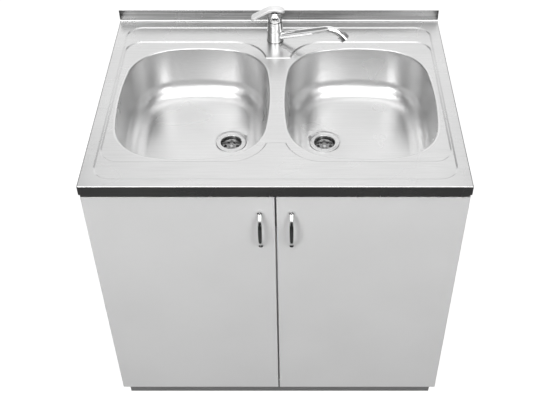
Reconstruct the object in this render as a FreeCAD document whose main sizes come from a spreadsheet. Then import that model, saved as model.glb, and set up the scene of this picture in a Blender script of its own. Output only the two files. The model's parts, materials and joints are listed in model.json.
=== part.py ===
import FreeCAD, Part
import math
import os
import re
import Sketcher
from FreeCAD import Rotation, Vector

# Kitchen sink unit: a pressed steel worktop with two drawn bowls and a single-lever tap,
# on a two-door cabinet. Millimetres. +Z is up, the doors face -Y, the floor is z = 0 and
# the origin lies under the middle of the whole unit.

# Driving dimensions: each number stands once and has its own cell in the sheet.
SIZES = {
    # worktop, pressed from one sheet
    "worktop_width": 800,
    "worktop_depth": 620,
    "worktop_height": 800,
    "sheet_gauge": 0.8,
    "bend_radius": 2.2,
    "skirt_drop": 28,
    "skirt_corner": 8,
    "upstand_height": 30,
    "upstand_gauge": 1.6,
    "rim_land_side": 24,
    "rim_land_front": 23,
    "rim_land_back": 30,
    "rim_corner_radius": 40,
    "step_drop": 2,
    "step_angle": 60,
    "wet_land_side": 29,
    "wet_land_front": 79,
    "wet_land_back": 91,
    "wet_corner_radius": 42,
    "front_tongue_tip": 140,
    "front_tongue_x": 100,
    "back_tongue_tip": 160,
    "back_tongue_x": 110,
    "tongue_radius": 84,
    # bowls, drawn and welded into the worktop
    "bowl_side_land": 43,
    "bowl_bridge": 36,
    "bowl_front_land": 90,
    "bowl_back_land": 119,
    "bowl_side_radius": 815,
    "bowl_end_radius": 403,
    "bowl_corner_radius": 111,
    "bowl_drop": 125,
    "bowl_draft": 4,
    "bowl_floor_radius": 45,
    "bowl_rim_radius": 4,
    "bowl_weld_land": 1,
    "weld_gap": 0.05,
    "drain_offset": 77.5,
    "drain_shift": 3,
    "recess_radius": 39,
    "recess_drop": 3,
    "recess_draft": 30,
    "drain_hole_radius": 29,
    # wastes and trap
    "flange_radius": 35.5,
    "flange_gauge": 1.5,
    "strainer_radius": 24,
    "strainer_drop": 11,
    "strainer_hole_radius": 4,
    "strainer_hole_circle": 14.5,
    "strainer_holes": 6,
    "waste_screw_radius": 3,
    "waste_screw_head_radius": 6,
    "waste_screw_length": 30,
    "seal_gauge": 3,
    "waste_cup_radius": 36,
    "waste_cup_drop": 34,
    "waste_wall": 2.5,
    "waste_boss_radius": 6,
    "waste_boss_length": 17,
    "waste_rib": 2,
    "pipe_radius": 20,
    "pipe_wall": 2,
    "pipe_drop": 30,
    "elbow_reach": 48,
    "socket_length": 14,
    "pipe_fit": 0.2,
    "nut_radius": 27,
    "nut_length": 20,
    "nut_sides": 12,
    "trap_drop": 90,
    "trap_radius": 32,
    "trap_length": 64,
    "trap_cup_radius": 35,
    "trap_cup_length": 62,
    "trap_thread": 8,
    "dip_drop": 50,
    "outlet_stub": 28,
    "outlet_overrun": 15,
    "outlet_relief": 0.4,
    # cabinet
    "side_gap": 2,
    "back_overhang": 26,
    "board": 16,
    "back_gauge": 3,
    "panel_fit": 0.05,
    "glide_radius": 7,
    "glide_height": 4,
    "glide_inset": 40,
    "glide_pin_radius": 1.5,
    "glide_pin_length": 14,
    "dowel_radius": 4,
    "dowel_length": 32,
    "dowel_bite": 12,
    "clip_width": 24,
    "clip_leg": 30,
    "clip_gauge": 1.6,
    "clip_front": 55,
    "clip_back": 60,
    "clip_screw_radius": 1.8,
    "clip_screw_length": 14,
    "plinth_height": 100,
    "plinth_setback": 58,
    "rail_height": 80,
    "service_width": 460,
    "service_height": 460,
    "service_sill": 180,
    "service_corner": 30,
    # doors, handles and hinges
    "door_thickness": 18,
    "door_edge": 1,
    "door_setback": 3,
    "door_gap": 3,
    "door_top_gap": 3,
    "door_bottom_gap": 2,
    "door_centre_gap": 4,
    "handle_from_centre": 33,
    "handle_drop": 121,
    "handle_spacing": 96,
    "handle_reach": 26,
    "handle_width": 9,
    "handle_gauge": 6,
    "handle_foot_radius": 4.5,
    "handle_foot_height": 6,
    "handle_edge": 2.9,
    "handle_screw_radius": 2,
    "handle_screw_bite": 7,
    "screw_head_radius": 4,
    "screw_head_height": 2.2,
    "hinge_inset": 100,
    "hinge_cup_radius": 17.4,
    "hinge_cup_wall": 0.8,
    "hinge_cup_fit": 0.1,
    "hinge_cup_inset": 21.5,
    "hinge_cup_depth": 13.8,
    "hinge_cup_edge": 2.8,
    "hinge_flange_gauge": 1.2,
    "hinge_flange_radius": 19,
    "hinge_wing": 30,
    "hinge_wing_width": 12,
    "cup_screw_offset": 24,
    "cup_screw_radius": 1.6,
    "cup_screw_length": 12,
    "cup_screw_head": 1.2,
    "pivot_inset": 8,
    "pivot_depth": 10.5,
    "pivot_fit": 0.05,
    "pin_radius": 1.25,
    "pin_length": 15,
    "knuckle_radius": 2.1,
    "knuckle_length": 9,
    "ear_gauge": 1.5,
    "ear_half": 3,
    "arm_gauge": 1.6,
    "arm_reach": 20,
    "arm_block_start": 12,
    "arm_block_length": 52,
    "arm_block_height": 14,
    "hinge_plate_gauge": 3,
    "hinge_plate_length": 36,
    "hinge_plate_height": 48,
    "hinge_plate_start": 20,
    "plate_screw_spacing": 32,
    "plate_screw_radius": 2.5,
    "plate_screw_length": 14,
    "bumper_radius": 4,
    "bumper_inset": 30,
    # tap; its heights are above the ledge that it stands on
    "tap_offset": -8,
    "tap_setback": 82,
    "tap_hole_radius": 17.5,
    "tap_radius": 18.6,
    "tap_base_radius": 20.5,
    "tap_gasket_gauge": 1,
    "tap_base_height": 5,
    "tap_base_edge": 1,
    "collar_top": 27,
    "collar_radius": 19.4,
    "sleeve_radius": 16,
    "running_fit": 0.08,
    "tap_body_top": 53.5,
    "tap_groove": 1.2,
    "cartridge_radius": 14.5,
    "cartridge_floor": 30,
    "cartridge_top": 50,
    "pivot_height": 62,
    "dome_radius": 18.4,
    "dome_gauge": 1.6,
    "dome_hole_radius": 11,
    "guide_radius": 10,
    "guide_gauge": 4,
    "guide_spigot_radius": 4,
    "guide_spigot_length": 8,
    "guide_ear_gap": 0.6,
    "guide_ear_gauge": 2.4,
    "tilt_pin_radius": 1.5,
    "stem_width": 6,
    "stem_drop": 4.5,
    "lever_reach": 57,
    "lever_slope": 30,
    "lever_shoulder_reach": 23.6,
    "lever_shoulder_height": 82,
    "lever_gauge": 5.5,
    "lever_width": 23,
    "lever_tip_radius": 7,
    "lever_edge": 2,
    "spout_swing": 22,
    "spout_root_reach": 12,
    "spout_root_height": 14,
    "spout_bend_reach": 130,
    "spout_bend_height": 58.5,
    "spout_bend_radius": 42,
    "spout_mouth_angle": 42,
    "spout_root_radius": 9.5,
    "spout_radius": 7.8,
    "spout_wall": 1.8,
    "aerator_radius": 11.5,
    "aerator_length": 13,
    "aerator_overlap": 3,
    "aerator_fit": 0.25,
    "shank_radius": 14,
    "shank_length": 46,
    "inlet_radius": 4.5,
    "inlet_depth": 12,
    "inlet_spacing": 12,
    "hose_radius": 5.5,
    "hose_wall": 2,
    "hose_tail_radius": 4.3,
    "hose_tail_length": 10,
    "hose_drop": 158,
    "hose_step": 45,
    "hose_bend": 36,
    "hose_nut_radius": 11,
    "hose_nut_length": 14,
    "hose_thread_radius": 8.3,
    "hose_thread_depth": 10,
    "clamp_gauge": 3,
    "clamp_radius": 26,
    "tap_nut_radius": 21,
    "tap_nut_height": 8,
}

# Places worked out from the sizes above.
PLACES = {
    "front_y": "-(worktop_depth - (handle_reach - door_setback)) / 2",
    "back_y": "front_y + worktop_depth",
    "bowl_width": "(worktop_width - 2 * bowl_side_land - bowl_bridge) / 2",
    "bowl_spacing": "bowl_width + bowl_bridge",
    "bowl_length": "worktop_depth - bowl_front_land - bowl_back_land",
    "bowl_setback": "bowl_front_land + bowl_length / 2",
    "drain_spacing": "bowl_spacing - 2 * drain_offset",
    "drain_setback": "bowl_setback + drain_shift",
    "ledge_z": "worktop_height - step_drop",
    "wet_z": "worktop_height - 2 * step_drop",
    "door_front_y": "front_y + door_setback",
    "door_back_y": "door_front_y + door_thickness",
    "carcass_front_y": "door_back_y + door_gap",
    "carcass_back_y": "back_y - back_overhang",
    "carcass_depth": "carcass_back_y - carcass_front_y",
    "carcass_width": "worktop_width - 2 * side_gap",
    "inner_half": "carcass_width / 2 - board",
    "door_bottom_z": "plinth_height + door_bottom_gap",
    "door_top_z": "worktop_height - skirt_drop - door_top_gap",
    "door_height": "door_top_z - door_bottom_z",
    "door_width": "(carcass_width - door_centre_gap) / 2",
    "pivot_x": "carcass_width / 2 - pivot_inset",
    "pivot_y": "door_back_y - pivot_depth",
    "cup_x": "carcass_width / 2 - hinge_cup_inset",
    "handle_z": "worktop_height - handle_drop",
    "handle_rise": "handle_reach - handle_gauge / 2",
    "handle_arc": "(handle_spacing ^ 2 / 4 + handle_rise ^ 2) / (2 * handle_rise)",
    "bowl_y": "front_y + bowl_setback",
    "drain_y": "front_y + drain_setback",
    "seat_z": "wet_z - bowl_drop - recess_drop",
    "seal_z": "seat_z - sheet_gauge",
    "pipe_z": "seal_z - seal_gauge - waste_cup_drop - pipe_drop",
    "trap_z": "pipe_z - trap_drop",
    "trap_base_z": "trap_z - trap_length / 2",
    "trap_top_z": "trap_z + trap_length / 2",
    "socket_radius": "pipe_radius + pipe_wall",
    "bore_radius": "pipe_radius - pipe_wall",
    "spigot_end_x": "drain_spacing / 2 - elbow_reach",
    "outlet_end_y": "carcass_back_y + back_gauge + outlet_overrun",
    "tap_y": "back_y - tap_setback",
    "base_foot": "tap_base_height + tap_gasket_gauge",
    "shank_end_z": "ledge_z + base_foot - shank_length",
    "lever_arc": "lever_shoulder_reach / sin(lever_slope)",
    "lever_under_arc": "lever_arc - lever_gauge",
    "lever_arc_height": "lever_shoulder_height - lever_arc * cos(lever_slope)",
    "lever_top": "lever_arc_height + lever_arc",
    "cup_top_z": "seal_z - seal_gauge",
    "block_y": "carcass_front_y + arm_block_start",
}

# How close two lengths count as the same when edges are picked.
NEAR = 0.01

doc = FreeCAD.newDocument("kitchen_sink_unit")
sheet = doc.addObject("Spreadsheet::Sheet", "Sizes")
places = doc.addObject("Spreadsheet::Sheet", "Places")


def full(words):
    """The words of a formula with the sheet that each one stands in."""

    def home(found):
        word = found.group(0)
        if word in SIZES:
            return "Sizes." + word
        if word in PLACES:
            return "Places." + word
        return word

    return re.sub(r"[a-z][a-z0-9_]*", home, str(words))


def fill(target, rows, text):
    for row, (alias, value) in enumerate(rows.items(), start=1):
        target.set(f"A{row}", alias)
        target.set(f"B{row}", text(value))
        target.setAlias(f"B{row}", alias)
    doc.recompute()


fill(sheet, SIZES, str)
fill(places, PLACES, lambda words: "=" + re.sub(r"Places\.", "", full(words)))


def number(words):
    """The value of a formula."""
    result = sheet.evalExpression(full(words))
    return float(getattr(result, "Value", result))


def bind(thing, prop, words):
    thing.setExpression(prop, full(words))


def put(thing, x=0, y=0, z=0):
    for axis, words in zip("xyz", (x, y, z)):
        bind(thing, f"Placement.Base.{axis}", words)
    return thing


# Part primitives and booleans ------------------------------------------------------------


def box(name, x, y, z):
    """A box from three (start, length) pairs of formulas."""
    solid = doc.addObject("Part::Box", name)
    for prop, (_, length) in zip(("Length", "Width", "Height"), (x, y, z)):
        bind(solid, prop, length)
    return put(solid, x[0], y[0], z[0])


TURNS = {
    "z": Rotation(),
    "-z": Rotation(Vector(1, 0, 0), 180),
    "x": Rotation(Vector(0, 1, 0), 90),
    "-x": Rotation(Vector(0, 1, 0), -90),
    "y": Rotation(Vector(1, 0, 0), -90),
    "-y": Rotation(Vector(1, 0, 0), 90),
}


def rod(name, radius, length, x=0, y=0, z=0, along="z"):
    solid = doc.addObject("Part::Cylinder", name)
    solid.Placement.Rotation = TURNS[along]
    bind(solid, "Radius", radius)
    bind(solid, "Height", length)
    return put(solid, x, y, z)


def join(name, *things):
    solid = doc.addObject("Part::MultiFuse", name)
    solid.Shapes = list(things)
    return solid


def cut(name, base, *tools):
    solid = doc.addObject("Part::Cut", name)
    solid.Base = base
    solid.Tool = tools[0] if len(tools) == 1 else join(name + "_tools", *tools)
    return solid


def common(name, base, tool):
    solid = doc.addObject("Part::Common", name)
    solid.Base = base
    solid.Tool = tool
    return solid


def group(name, things):
    """Like pieces kept as one node of separate solids."""
    node = doc.addObject("Part::Compound", name)
    node.Links = list(things)
    return node


# Bodies and sketches ---------------------------------------------------------------------


def new_body(name, x=0, y=0, z=0, turn=None):
    body = doc.addObject("PartDesign::Body", name)
    if turn:
        body.Placement.Rotation = turn
    return put(body, x, y, z)


def new_sketch(body, name, plane, lift=0):
    sketch = body.newObject("Sketcher::SketchObject", f"{body.Name}_{name}")
    origin = [f for f in body.Origin.OriginFeatures if f.Role == plane]
    sketch.AttachmentSupport = [(origin[0], "")]
    sketch.MapMode = "FlatFace"
    bind(sketch, "AttachmentOffset.Base.z", lift)
    return sketch


def hold(sketch, kind, where, words):
    """A constraint whose value is a formula."""
    index = sketch.addConstraint(Sketcher.Constraint(kind, *where, number(words)))
    bind(sketch, f"Constraints[{index}]", words)


def pin(sketch, geometry, end, x, y):
    """Hold one end of a line or arc at a point given by two formulas."""
    for axis, kind, words in ((-2, "DistanceX", x), (-1, "DistanceY", y)):
        if str(words) == "0":
            sketch.addConstraint(Sketcher.Constraint("PointOnObject", geometry, end, axis))
        else:
            hold(sketch, kind, (-1, 1, geometry, end), words)


def outline(sketch, *corners):
    """A closed outline. A corner is (x, y), or (x, y, radius, sense) where the way to the
    next corner is an arc: sense is 1 where it turns left and -1 where it turns right."""
    points = [Vector(number(c[0]), number(c[1]), 0) for c in corners]
    count = len(corners)
    for index, corner in enumerate(corners):
        start, end = points[index], points[(index + 1) % count]
        if len(corner) == 2:
            sketch.addGeometry(Part.LineSegment(start, end), False)
            continue
        radius, sense = number(corner[2]), corner[3]
        chord = end - start
        rise = math.sqrt(radius**2 - chord.Length**2 / 4)
        side = Vector(-chord.y, chord.x, 0) / chord.Length
        centre = (start + end) / 2 + side * rise * sense
        a, b = (start, end) if sense > 0 else (end, start)
        angles = [math.atan2(p.y - centre.y, p.x - centre.x) for p in (a, b)]
        circle = Part.Circle(centre, Vector(0, 0, 1), radius)
        sketch.addGeometry(Part.ArcOfCircle(circle, *angles), False)
    for index, corner in enumerate(corners):
        following = (index + 1) % count
        leaves = 2 if len(corner) == 2 or corner[3] > 0 else 1
        arrives = 1 if len(corners[following]) == 2 or corners[following][3] > 0 else 2
        sketch.addConstraint(Sketcher.Constraint("Coincident", index, leaves, following, arrives))
    for index, corner in enumerate(corners):
        start = 1 if len(corner) == 2 or corner[3] > 0 else 2
        pin(sketch, index, start, corner[0], corner[1])
        if len(corner) > 2:
            hold(sketch, "Radius", (index,), corner[2])
    return sketch


def rectangle(sketch, x0, y0, x1, y1):
    return outline(sketch, (x0, y0), (x1, y0), (x1, y1), (x0, y1))


def ring(sketch, radius, x=0, y=0):
    circle = Part.Circle(Vector(number(x), number(y), 0), Vector(0, 0, 1), number(radius))
    index = sketch.addGeometry(circle, False)
    pin(sketch, index, 3, x, y)
    hold(sketch, "Radius", (index,), radius)
    return sketch


def rounded_rectangle(sketch, x0, y0, x1, y1, radius):
    left, right = f"({x0}) + {radius}", f"({x1}) - {radius}"
    low, high = f"({y0}) + {radius}", f"({y1}) - {radius}"
    return outline(
        sketch,
        (left, y0),
        (right, y0, radius, 1),
        (x1, low),
        (x1, high, radius, 1),
        (right, y1),
        (left, y1, radius, 1),
        (x0, high),
        (x0, low, radius, 1),
    )


def feature(body, kind, name, sketch, length, draft=0, upward=False):
    made = body.newObject(f"PartDesign::{kind}", f"{body.Name}_{name}")
    made.Profile = sketch
    made.Reversed = upward if kind == "Pocket" else not upward
    bind(made, "Length", length)
    if draft:
        bind(made, "TaperAngle", draft)
    doc.recompute()
    return made


def round_edges(body, name, radius, chosen, kind="Fillet"):
    """Round the edges of the body's last feature that the test picks."""
    base = body.Tip
    edges = [f"Edge{i}" for i, edge in enumerate(base.Shape.Edges, start=1) if chosen(edge)]
    if not edges:
        raise ValueError(f"{body.Name}: no edges found for {name}")
    made = body.newObject(f"PartDesign::{kind}", f"{body.Name}_{name}")
    made.Base = (base, edges)
    bind(made, "Radius" if kind == "Fillet" else "Size", radius)
    doc.recompute()
    return made


def level(words):
    """A test for edges that lie at one height."""
    height = number(words)

    def chosen(edge):
        box_ = edge.BoundBox
        return abs(box_.ZMin - height) < NEAR and abs(box_.ZMax - height) < NEAR

    return chosen


def turned(name, profile, x=0, y=0, z=0, turn=None):
    """A body turned about its own Z axis from corners (radius, height)."""
    body = new_body(name, x, y, z, turn)
    sketch = outline(new_sketch(body, "profile", "XZ_Plane"), *profile)
    made = body.newObject("PartDesign::Revolution", f"{name}_turning")
    made.Profile = sketch
    made.ReferenceAxis = (sketch, ["V_Axis"])
    made.Angle = 360
    doc.recompute()
    return body


# Worktop ---------------------------------------------------------------------------------

DRAFT_IN = "-step_angle"


def pressing_form(name, inset, end_overrun, base_overrun):
    """The space below the pressed surface, moved in and down by `inset`."""
    body = new_body(name, 0, "front_y", f"worktop_height - ({inset})")
    half = f"worktop_width / 2 - ({inset})"
    top = new_sketch(body, "block", "XY_Plane")
    rectangle(top, f"-({half})", inset, half, f"worktop_depth + {end_overrun}")
    feature(body, "Pad", "block_pad", top, f"skirt_drop + {base_overrun}")

    rim = new_sketch(body, "rim_step", "XY_Plane")
    rim_half = "worktop_width / 2 - rim_land_side"
    rim_back = "worktop_depth - rim_land_back"
    rounded_rectangle(rim, f"-({rim_half})", "rim_land_front", rim_half, rim_back,
                      "rim_corner_radius")
    feature(body, "Pocket", "rim_pocket", rim, "step_drop", DRAFT_IN)

    wet = new_sketch(body, "wet_step", "XY_Plane", "-step_drop")
    wet_outline(wet)
    feature(body, "Pocket", "wet_pocket", wet, "step_drop", DRAFT_IN)

    radius = f"bend_radius - ({inset})"
    round_edges(body, "bends", radius, outer_bends(half, inset))
    return body


def wet_outline(sketch):
    """The lower wet area, which leaves a tongue of the ledge between the bowls."""
    half = "worktop_width / 2 - wet_land_side"
    back = "worktop_depth - wet_land_back"
    tip_front = "front_tongue_tip"
    tip_back = "worktop_depth - back_tongue_tip"
    front_rise = "(wet_land_front + tongue_radius - front_tongue_tip)"
    back_rise = "(wet_land_back + tongue_radius - back_tongue_tip)"
    front_half = f"front_tongue_x - sqrt(tongue_radius ^ 2 - {front_rise} ^ 2)"
    back_half = f"back_tongue_x - sqrt(tongue_radius ^ 2 - {back_rise} ^ 2)"
    corner = "wet_corner_radius"
    front, radius = "wet_land_front", "tongue_radius"
    outline(
        sketch,
        (front_half, tip_front, radius, 1),
        ("front_tongue_x", front),
        (f"{half} - {corner}", front, corner, 1),
        (half, f"{front} + {corner}"),
        (half, f"{back} - {corner}", corner, 1),
        (f"{half} - {corner}", back),
        ("back_tongue_x", back, radius, 1),
        (back_half, tip_back),
        (f"-({back_half})", tip_back, radius, 1),
        ("-back_tongue_x", back),
        (f"-({half} - {corner})", back, corner, 1),
        (f"-({half})", f"{back} - {corner}"),
        (f"-({half})", f"{front} + {corner}", corner, 1),
        (f"-({half} - {corner})", front),
        ("-front_tongue_x", front, radius, 1),
        (f"-({front_half})", tip_front),
    )


def outer_bends(half, inset):
    """A test for the bend lines of the skirt: its top edges and its front corners."""
    side, front = number(half), number(inset)

    def chosen(edge):
        box_ = edge.BoundBox
        on_side = abs(abs(box_.XMin) - side) < NEAR and box_.XLength < NEAR
        on_front = abs(box_.YMin - front) < NEAR and box_.YLength < NEAR
        flat_top = abs(box_.ZMax) < NEAR and box_.ZLength < NEAR
        upright = box_.ZLength > 1
        return (flat_top and (on_side or on_front)) or (upright and on_side and on_front)

    return chosen


def bowed_outline(sketch, inset):
    """The bowl's plan: gently bowed sides and ends joined by round corners, all tangent."""
    half_x = f"bowl_width / 2 - ({inset})"
    half_y = f"bowl_length / 2 - ({inset})"
    side = f"bowl_side_radius - ({inset})"
    end = f"bowl_end_radius - ({inset})"
    corner = f"bowl_corner_radius - ({inset})"
    r_side, r_end, r_corner = number(side), number(end), number(corner)
    at_side = Vector(number(half_x) - r_side, 0, 0)
    at_end = Vector(0, number(half_y) - r_end, 0)
    gap = at_end - at_side
    along = ((r_side - r_corner) ** 2 - (r_end - r_corner) ** 2) / (2 * gap.Length) + gap.Length / 2
    off = math.sqrt((r_side - r_corner) ** 2 - along**2)
    unit = gap / gap.Length
    at_corner = at_side + unit * along + Vector(-unit.y, unit.x, 0) * off
    low = math.atan2(at_corner.y - at_side.y, at_corner.x - at_side.x)
    high = math.atan2(at_corner.y - at_end.y, at_corner.x - at_end.x)
    pi = math.pi
    arcs = (
        (at_side.x, 0, r_side, -low, low),
        (at_corner.x, at_corner.y, r_corner, low, high),
        (0, at_end.y, r_end, high, pi - high),
        (-at_corner.x, at_corner.y, r_corner, pi - high, pi - low),
        (-at_side.x, 0, r_side, pi - low, pi + low),
        (-at_corner.x, -at_corner.y, r_corner, pi + low, pi + high),
        (0, -at_end.y, r_end, pi + high, 2 * pi - high),
        (at_corner.x, -at_corner.y, r_corner, 2 * pi - high, 2 * pi - low),
    )
    for x, y, radius, start, stop in arcs:
        circle = Part.Circle(Vector(x, y, 0), Vector(0, 0, 1), radius)
        sketch.addGeometry(Part.ArcOfCircle(circle, start, stop), False)
    for index in range(8):
        hold(sketch, "Radius", (index,), (side, corner, end, corner)[index % 4])
    for index, axis, kind, words in (
        (0, -1, "DistanceX", f"({half_x}) - ({side})"),
        (4, -1, "DistanceX", f"({side}) - ({half_x})"),
        (2, -2, "DistanceY", f"({half_y}) - ({end})"),
        (6, -2, "DistanceY", f"({end}) - ({half_y})"),
    ):
        sketch.addConstraint(Sketcher.Constraint("PointOnObject", index, 3, axis))
        hold(sketch, kind, (-1, 1, index, 3), words)
    joints = [Sketcher.Constraint("Tangent", i, 2, (i + 1) % 8, 1) for i in range(8)]
    sketch.addConstraint(joints)
    return sketch


def flat_gap(sketch, point):
    """The distance from a point to a sketch, both taken in the sketch's own plane."""
    wire = sketch.Shape.copy()
    wire.Placement = FreeCAD.Placement()
    return wire.distToShape(point)[0]


def bowl_form(name, side, inset, flange_outset, flange_rise):
    """One face of a drawn bowl: a flange, a rolled rim, drafted walls and a round floor."""
    body = new_body(name, f"{side} * bowl_spacing / 2", "bowl_y", "wet_z")
    plug = bowed_outline(new_sketch(body, "plug", "XY_Plane"), inset)
    feature(body, "Pad", "plug_pad", plug, f"bowl_drop + sheet_gauge - ({inset})", "-bowl_draft")
    floor = f"-(bowl_drop + sheet_gauge - ({inset}))"
    round_edges(body, "floor", f"bowl_floor_radius - ({inset})", level(floor))

    drain = new_sketch(body, "recess", "XY_Plane", floor)
    drain_x = f"{side} * (drain_spacing - bowl_spacing) / 2"
    ring(drain, f"recess_radius + sheet_gauge - ({inset})", drain_x, "drain_setback - bowl_setback")
    feature(body, "Pad", "recess_pad", drain, "recess_drop", "-recess_draft")

    flange = bowed_outline(new_sketch(body, "flange", "XY_Plane"), f"-({flange_outset})")
    upward = flange_rise is not None
    feature(body, "Pad", "flange_pad", flange, flange_rise or "sheet_gauge", 0, upward)
    under = 0 if upward else "-sheet_gauge"
    radius = f"bowl_rim_radius - sheet_gauge + ({inset})"

    def rim(edge):
        """True for the edges where the walls meet the flange, not for the flange's outline."""
        middle = edge.valueAt((edge.FirstParameter + edge.LastParameter) / 2)
        point = Part.Vertex(Vector(middle.x, middle.y, 0))
        gaps = [flat_gap(sketch, point) for sketch in (plug, flange)]
        return level(under)(edge) and gaps[0] < gaps[1]

    round_edges(body, "rim", radius, rim)
    return body


def sink_deck():
    """The worktop: the gap between two pressing forms, with its upstand and cut-outs."""
    upper = pressing_form("deck_upper_form", "0", 0, 0)
    under = pressing_form("deck_under_form", "sheet_gauge", 1, 1)
    sheet_part = cut("deck_sheet", upper, under)

    upstand = new_body("deck_upstand", "-worktop_width / 2", "back_y", "worktop_height")
    root = new_sketch(upstand, "section", "YZ_Plane")
    cove = "2 * bend_radius"
    outline(
        root,
        (0, "-sheet_gauge"),
        (0, "upstand_height"),
        ("-upstand_gauge", "upstand_height"),
        ("-upstand_gauge", cove, cove, 1),
        (f"-(upstand_gauge + {cove})", 0),
        (f"-(upstand_gauge + {cove})", "-sheet_gauge"),
    )
    feature(upstand, "Pad", "fold", root, "worktop_width", 0, True)

    openings = []
    for side, word in ((-1, "left"), (1, "right")):
        hole = new_body(f"deck_cut_{word}", f"{side} * bowl_spacing / 2", "bowl_y", "worktop_height")
        edge = bowed_outline(
            new_sketch(hole, "edge", "XY_Plane"),
            "-(bowl_rim_radius + bowl_weld_land + weld_gap)",
        )
        feature(hole, "Pad", "through", edge, "skirt_drop")
        openings.append(hole)
    openings.append(
        rod("tap_hole", "tap_hole_radius", "skirt_drop", "tap_offset", "tap_y",
            "worktop_height - skirt_drop")
    )
    openings += skirt_corner_cuts()
    return cut("sink_deck", join("deck_folded", sheet_part, upstand), *openings)


def skirt_corner_cuts():
    """Round the lower corners of the front and side skirts."""
    low = "worktop_height - skirt_drop"
    cuts = []
    for side, word in ((-1, "left"), (1, "right")):
        inner = "(worktop_width / 2 - skirt_corner)"
        start = "-worktop_width / 2 - 1" if side < 0 else inner
        block = box(f"front_corner_{word}", (start, "skirt_corner + 1"),
                    ("front_y - 1", "skirt_corner"), (f"{low} - 1", "skirt_corner + 1"))
        keep = rod(f"front_round_{word}", "skirt_corner", "skirt_corner + 2", f"{side} * {inner}",
                   "front_y - 2", f"{low} + skirt_corner", "y")
        cuts.append(cut(f"front_corner_cut_{word}", block, keep))
        edge = f"{side} * worktop_width / 2 - skirt_corner / 2"
        block = box(f"side_corner_{word}", (edge, "skirt_corner"),
                    ("front_y - 1", "skirt_corner + 1"), (f"{low} - 1", "skirt_corner + 1"))
        keep = rod(f"side_round_{word}", "skirt_corner", "skirt_corner + 2", f"{edge} - 1",
                   "front_y + skirt_corner", f"{low} + skirt_corner", "x")
        cuts.append(cut(f"side_corner_cut_{word}", block, keep))
    return cuts


def bowl(side, word):
    outer = bowl_form(f"bowl_{word}_outer", side, "0", "bowl_rim_radius + bowl_weld_land", None)
    inner = bowl_form(f"bowl_{word}_inner", side, "sheet_gauge",
                      "bowl_rim_radius + bowl_weld_land + 2", "2 * step_drop")
    hole = rod(f"drain_hole_{word}", "drain_hole_radius", "4 * recess_drop",
               f"{side} * drain_spacing / 2", "drain_y", "seat_z - 2 * recess_drop")
    return cut(f"bowl_{word}", outer, inner, hole)


# Helpers for pieces made in left and right copies ------------------------------------------

SIDES = ((-1, "left"), (1, "right"))


def across(side, start, length):
    """The (start, length) pair of a box that begins `start` away from the middle."""
    if side > 0:
        return (start, length)
    return (f"-(({start}) + ({length}))", length)


def outward(side):
    return "x" if side > 0 else "-x"


def inward(side):
    return outward(-side)


def mirrored(name, source):
    """The right-hand copy of a left-hand piece."""
    copy = doc.addObject("Part::Mirroring", name)
    copy.Source = source
    copy.Normal = (1, 0, 0)
    return copy


def ball(name, radius, x, y, z):
    solid = doc.addObject("Part::Sphere", name)
    bind(solid, "Radius", radius)
    return put(solid, x, y, z)


# Cabinet ---------------------------------------------------------------------------------


def glide_rods(side, word):
    """The glides under one side panel: a foot with a pin that is knocked into the board."""
    feet = []
    middle = f"{side} * (inner_half + board / 2)"
    toe_back = "front_y + plinth_setback + board"
    for end, y in (("front", f"{toe_back} + glide_inset"), ("back", "carcass_back_y - glide_inset")):
        pin_rod = rod(f"glide_pin_{word}_{end}", "glide_pin_radius",
                      "glide_height + glide_pin_length", middle, y, 0)
        foot = rod(f"glide_foot_{word}_{end}", "glide_radius", "glide_height", middle, y, 0)
        feet.append((pin_rod, join(f"glide_{word}_{end}", foot, pin_rod)))
    return feet


def dowel_rods(side, word):
    """Dowels between one side panel and the bottom panel and rails."""
    start = f"{side} * (inner_half - dowel_length + dowel_bite)"
    board_z = "plinth_height + board / 2"
    rail_top = "ledge_z - sheet_gauge"
    spots = [
        ("front_low", "carcass_front_y + carcass_depth / 8", board_z),
        ("middle_low", "carcass_front_y + carcass_depth / 2", board_z),
        ("back_low", "carcass_back_y - carcass_depth / 8", board_z),
    ]
    for end, y in (("front", "carcass_front_y + board / 2"), ("back", "carcass_back_y - board / 2")):
        spots.append((f"{end}_rail_high", y, f"{rail_top} - rail_height / 4"))
        spots.append((f"{end}_rail_low", y, f"{rail_top} - rail_height * 3 / 4"))
    return [
        rod(f"dowel_{word}_{spot}", "dowel_radius", "dowel_length", start, y, z, outward(side))
        for spot, y, z in spots
    ]


def clip_pieces(side, word):
    """The brackets that hold the worktop down on one side panel, with their screws."""
    clips, screws = [], []
    top = "ledge_z - sheet_gauge"
    for end, setback in (("front", "clip_front"), ("back", "worktop_depth - clip_back")):
        y = f"front_y + {setback}"
        start = (f"{y} - clip_width / 2", "clip_width")
        arm = box(f"clip_arm_{word}_{end}", across(side, "inner_half - clip_leg", "clip_leg"),
                  start, (f"{top} - clip_gauge", "clip_gauge"))
        leg = box(f"clip_drop_{word}_{end}", across(side, "inner_half - clip_gauge", "clip_gauge"),
                  start, (f"{top} - clip_leg", "clip_leg"))
        low = f"{top} - clip_leg * 2 / 3"
        head_x = f"{side} * (inner_half - clip_gauge - screw_head_height)"
        head = rod(f"clip_screw_head_{word}_{end}", "screw_head_radius", "screw_head_height",
                   head_x, y, low, outward(side))
        shank = rod(f"clip_screw_shank_{word}_{end}", "clip_screw_radius",
                    "clip_gauge + clip_screw_length", f"{side} * (inner_half - clip_gauge)", y,
                    low, outward(side))
        clips.append(cut(f"clip_{word}_{end}", join(f"clip_bent_{word}_{end}", arm, leg), shank))
        screws.append((shank, join(f"clip_screw_{word}_{end}", head, shank)))
    return clips, screws


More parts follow.
